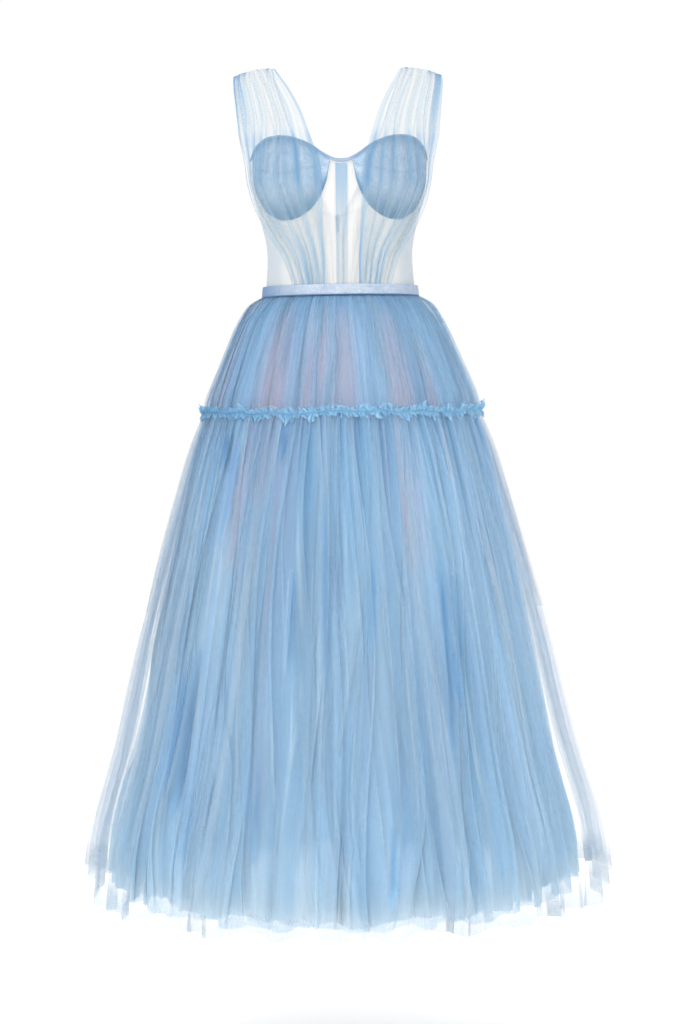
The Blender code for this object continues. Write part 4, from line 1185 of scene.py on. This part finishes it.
# What each feature adds to the cover and to the tone of a strap, from their ground values
DRAPE_COVER = 0.30
DRAPE_TONE = 0.12
DRAPE_COLUMNS = ("feature", "cover", "tone")
DRAPE_SHARES = (
    ("over_cup", 0.08, 0.24),
    ("border", 0.50, 0.55),
    ("gather", 0.40, 0.30),
    ("pucker", 0.90, 0.85),
    ("edge", 0.05, 0.06),
)


def overlay(side, facing):
    """Gathered net from shoulder seam to waist: laid pleats close at both ends, open between."""
    s = np.arange(STRAP_PLEATS * STRAP_POINTS_PER_PLEAT + 1) / STRAP_POINTS_PER_PLEAT
    ss, v = grid(s, STRAP_ROWS)
    seed = 101 + 7 * (side > 0) + 13 * (facing > 0)
    even = ss / STRAP_PLEATS
    shift = 0.30 * uneven(even, v, seed, (1, 2, 3), 0.25) * np.sin(math.pi * even)
    ends = 0.6 - 0.6 * ease(v, 0.0, 0.16) + 0.45 * ease(v, 0.62, 0.95)
    overlap = 0.35 + 1.5 * ends + 0.3 * uneven(even, v, seed + 1, (2, 3, 5), 0.9)
    overlap = np.clip(overlap, 0.0, 3.4)
    phase = TURN * ss
    u = even + shift / STRAP_PLEATS - overlap * np.sin(phase) / (TURN * STRAP_PLEATS)
    u = np.clip(u, 0.0, 1.0)
    normal = normals_of(strap_surface(facing, even, v))
    normal = normal * np.sign((normal[..., 1] * facing).mean())
    hold = (0.60 + 0.40 * ease(v, 0.0, 0.05)) * (1 - 0.6 * ease(v, 0.93, 1.0))
    depth = (1.0 + 0.6 * ease(v, 0.0, 0.15)) * MM * hold
    points = strap_surface(facing, u, v) - normal * (depth * np.sin(phase))[..., None]
    points[..., 1] += facing * SEAM_GAP / 2

    pucker = np.zeros_like(u)
    for row in PUCKERS:
        tuck = dict(zip(PUCKER_COLUMNS, row))
        pucker = pucker + bell(u, tuck["u"], tuck["reach"]) * np.exp(-v / tuck["length"])
    edge = np.exp(-(((overlap * np.cos(phase) - 1) / 0.9) ** 2)) * ease(overlap, 0.6, 1.6)
    border = bell(u, 1.0, 0.14) * (1 - 0.75 * ease(v, 0.15, 0.5)) + 0.5 * bell(u, 0.0, 0.03)
    over_cup = ease(v, 0.36, 0.42) * (1 - ease(v, 0.60, 0.68))
    features = {
        "over_cup": over_cup,
        "border": border,
        "gather": ease(v, 0.66, 0.98) * (0.10 + 0.90 * bell(u, 0.36, 0.26)),
        "pucker": pucker,
        "edge": edge,
    }
    cover = DRAPE_COVER
    tone = DRAPE_TONE
    for row in DRAPE_SHARES:
        share = dict(zip(DRAPE_COLUMNS, row))
        cover = cover + share["cover"] * features[share["feature"]]
        tone = tone + share["tone"] * features[share["feature"]]
    fine = uneven(even, v, seed + 2, (5, 9, 14), 0.7)
    crest = bell(np.sin(phase + 2.0 * shift), 1.0, 0.5)
    cover = (1.0 if facing < 0 else 0.6) * cover * (0.85 + 0.45 * fine + 0.45 * crest)
    tone = tone + (0.10 + 0.12 * over_cup) * fine + 0.05 * crest
    values = {"cover": np.clip(cover, 0.03, 0.95), "tone": np.clip(tone, 0, 1)}
    name = f"{part_name(facing)}_{side_name(side)}"
    cut = (0.25, 0.40)
    made = add_sheet(f"drape_{name}", mirror_x(points, side), cut, STRAP_NET, values,
                     flip=side * facing < 0)
    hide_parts(f"overlay_{name}")


def zip_strip():
    """Concealed zip: two flat tapes whose edges meet in a low rounded coil cover."""
    u, v = grid(np.linspace(-1.0, 1.0, 21), 120)
    z = between(ZIP_END, BACK_NECK, v)
    on_bodice = bodice_section(np.maximum(z, BELT_BOTTOM), "back_depth")
    on_skirt = skirt_read(UPPER_TIER, "depth", z)
    y = between(on_bodice, on_skirt, ease(-z, 0.3480, 0.3650))
    groove = 0.0006 * bell(np.abs(u), 0.18, 0.10) - 0.0005 * bell(u, 0.0, 0.05)
    points = np.stack([-u * ZIP_WIDTH / 2, y + groove - 0.0002, z], axis=-1)
    coil = bell(u, 0.0, 0.22)
    values = {"cover": 0.40 + 0.40 * coil, "tone": 0.20 + 0.15 * coil}
    cut = (ZIP_WIDTH, 0.35)
    made = add_sheet("zip_tapes", points, cut, TAPE_MESH, values)
    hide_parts("zip")


# Room, light and camera

CAMERA_DISTANCE = 4.0
CAMERA_HEIGHT = -0.531
CAMERA_TURN = math.radians(2.0)
CAMERA_ROLL = math.radians(0.8)
AIM = Vector((-0.0032, 0.0, -0.7102))
SENSOR_HEIGHT_MM = 24.0
IMAGE_HEIGHT_PX = 1024
FOCAL_PX = 2500.0
FLOOR_Z = -1.62
FLOOR_REACH = 9.0


def add_light(name, place, target, size, power):
    lamp = bpy.data.lights.new(name, "AREA")
    lamp.shape = "SQUARE"
    lamp.size = size
    lamp.energy = power
    made = bpy.data.objects.new(name, lamp)
    made.location = place
    made.rotation_euler = (Vector(target) - Vector(place)).to_track_quat("-Z", "Y").to_euler()
    bpy.context.scene.collection.objects.link(made)


def studio():
    scene = bpy.context.scene
    world = bpy.data.worlds.new("white_studio")
    scene.world = world
    world.use_nodes = True
    background = world.node_tree.nodes["Background"]
    background.inputs["Color"].default_value = (1.0, 1.0, 1.0, 1.0)
    background.inputs["Strength"].default_value = 1.0
    add_light("key", (-1.6, -2.6, 1.3), (0.0, 0.0, -0.6), 1.6, 42.0)
    add_light("fill", (2.4, -2.0, 0.2), (0.0, 0.0, -0.7), 2.0, 14.0)
    finish, _, shader = start_material("matt_white_paint", 0.9)
    shader.inputs["Base Color"].default_value = (0.93, 0.93, 0.93, 1.0)
    shader.inputs["Emission Color"].default_value = (1.0, 1.0, 1.0, 1.0)
    shader.inputs["Emission Strength"].default_value = 0.22
    floor = bpy.data.meshes.new("floor")
    corners = ((-1, -1), (1, -1), (1, 1), (-1, 1))
    floor.from_pydata([(x * FLOOR_REACH, y * FLOOR_REACH, FLOOR_Z) for x, y in corners], [],
                      [(0, 1, 2, 3)])
    floor.materials.append(finish)
    made = bpy.data.objects.new("floor", floor)
    scene.collection.objects.link(made)
    scene.view_settings.view_transform = "Standard"
    scene.cycles.transparent_max_bounces = 32
    scene.cycles.max_bounces = 4
    scene.cycles.diffuse_bounces = 2
    scene.cycles.adaptive_threshold = 0.06
    scene.cycles.adaptive_min_samples = 16


def camera():
    """Camera at the height of the upper skirt, a little to the left, turned by the photo's lean."""
    place = Vector((
        AIM.x - CAMERA_DISTANCE * math.sin(CAMERA_TURN),
        -CAMERA_DISTANCE * math.cos(CAMERA_TURN),
        CAMERA_HEIGHT,
    ))
    ahead = (AIM - place).normalized()
    right = ahead.cross(Vector((0, 0, 1))).normalized()
    up = right.cross(ahead)
    tilted_right = right * math.cos(CAMERA_ROLL) - up * math.sin(CAMERA_ROLL)
    tilted_up = right * math.sin(CAMERA_ROLL) + up * math.cos(CAMERA_ROLL)
    data = bpy.data.cameras.new("camera")
    data.sensor_fit = "VERTICAL"
    data.sensor_height = SENSOR_HEIGHT_MM
    data.lens = SENSOR_HEIGHT_MM * FOCAL_PX / IMAGE_HEIGHT_PX
    made = bpy.data.objects.new("camera", data)
    axes = Matrix((tilted_right, tilted_up, -ahead)).transposed()
    made.matrix_world = Matrix.Translation(place) @ axes.to_4x4()
    bpy.context.scene.collection.objects.link(made)
    bpy.context.scene.camera = made


def hard_parts():
    for name in ("zip_slider", "pull_tab"):
        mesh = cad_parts[name].data
        mesh.materials.clear()
        mesh.materials.append(ENAMEL)


for side in (-1, 1):
    base_panels(side)
    cup(side)
    overlay(side, -1)
    overlay(side, 1)
trims()
centre_strip()
zip_strip()
hard_parts()
upper_tier()
lower_tier()
ruffle()
underskirt()
lining()
studio()
camera()
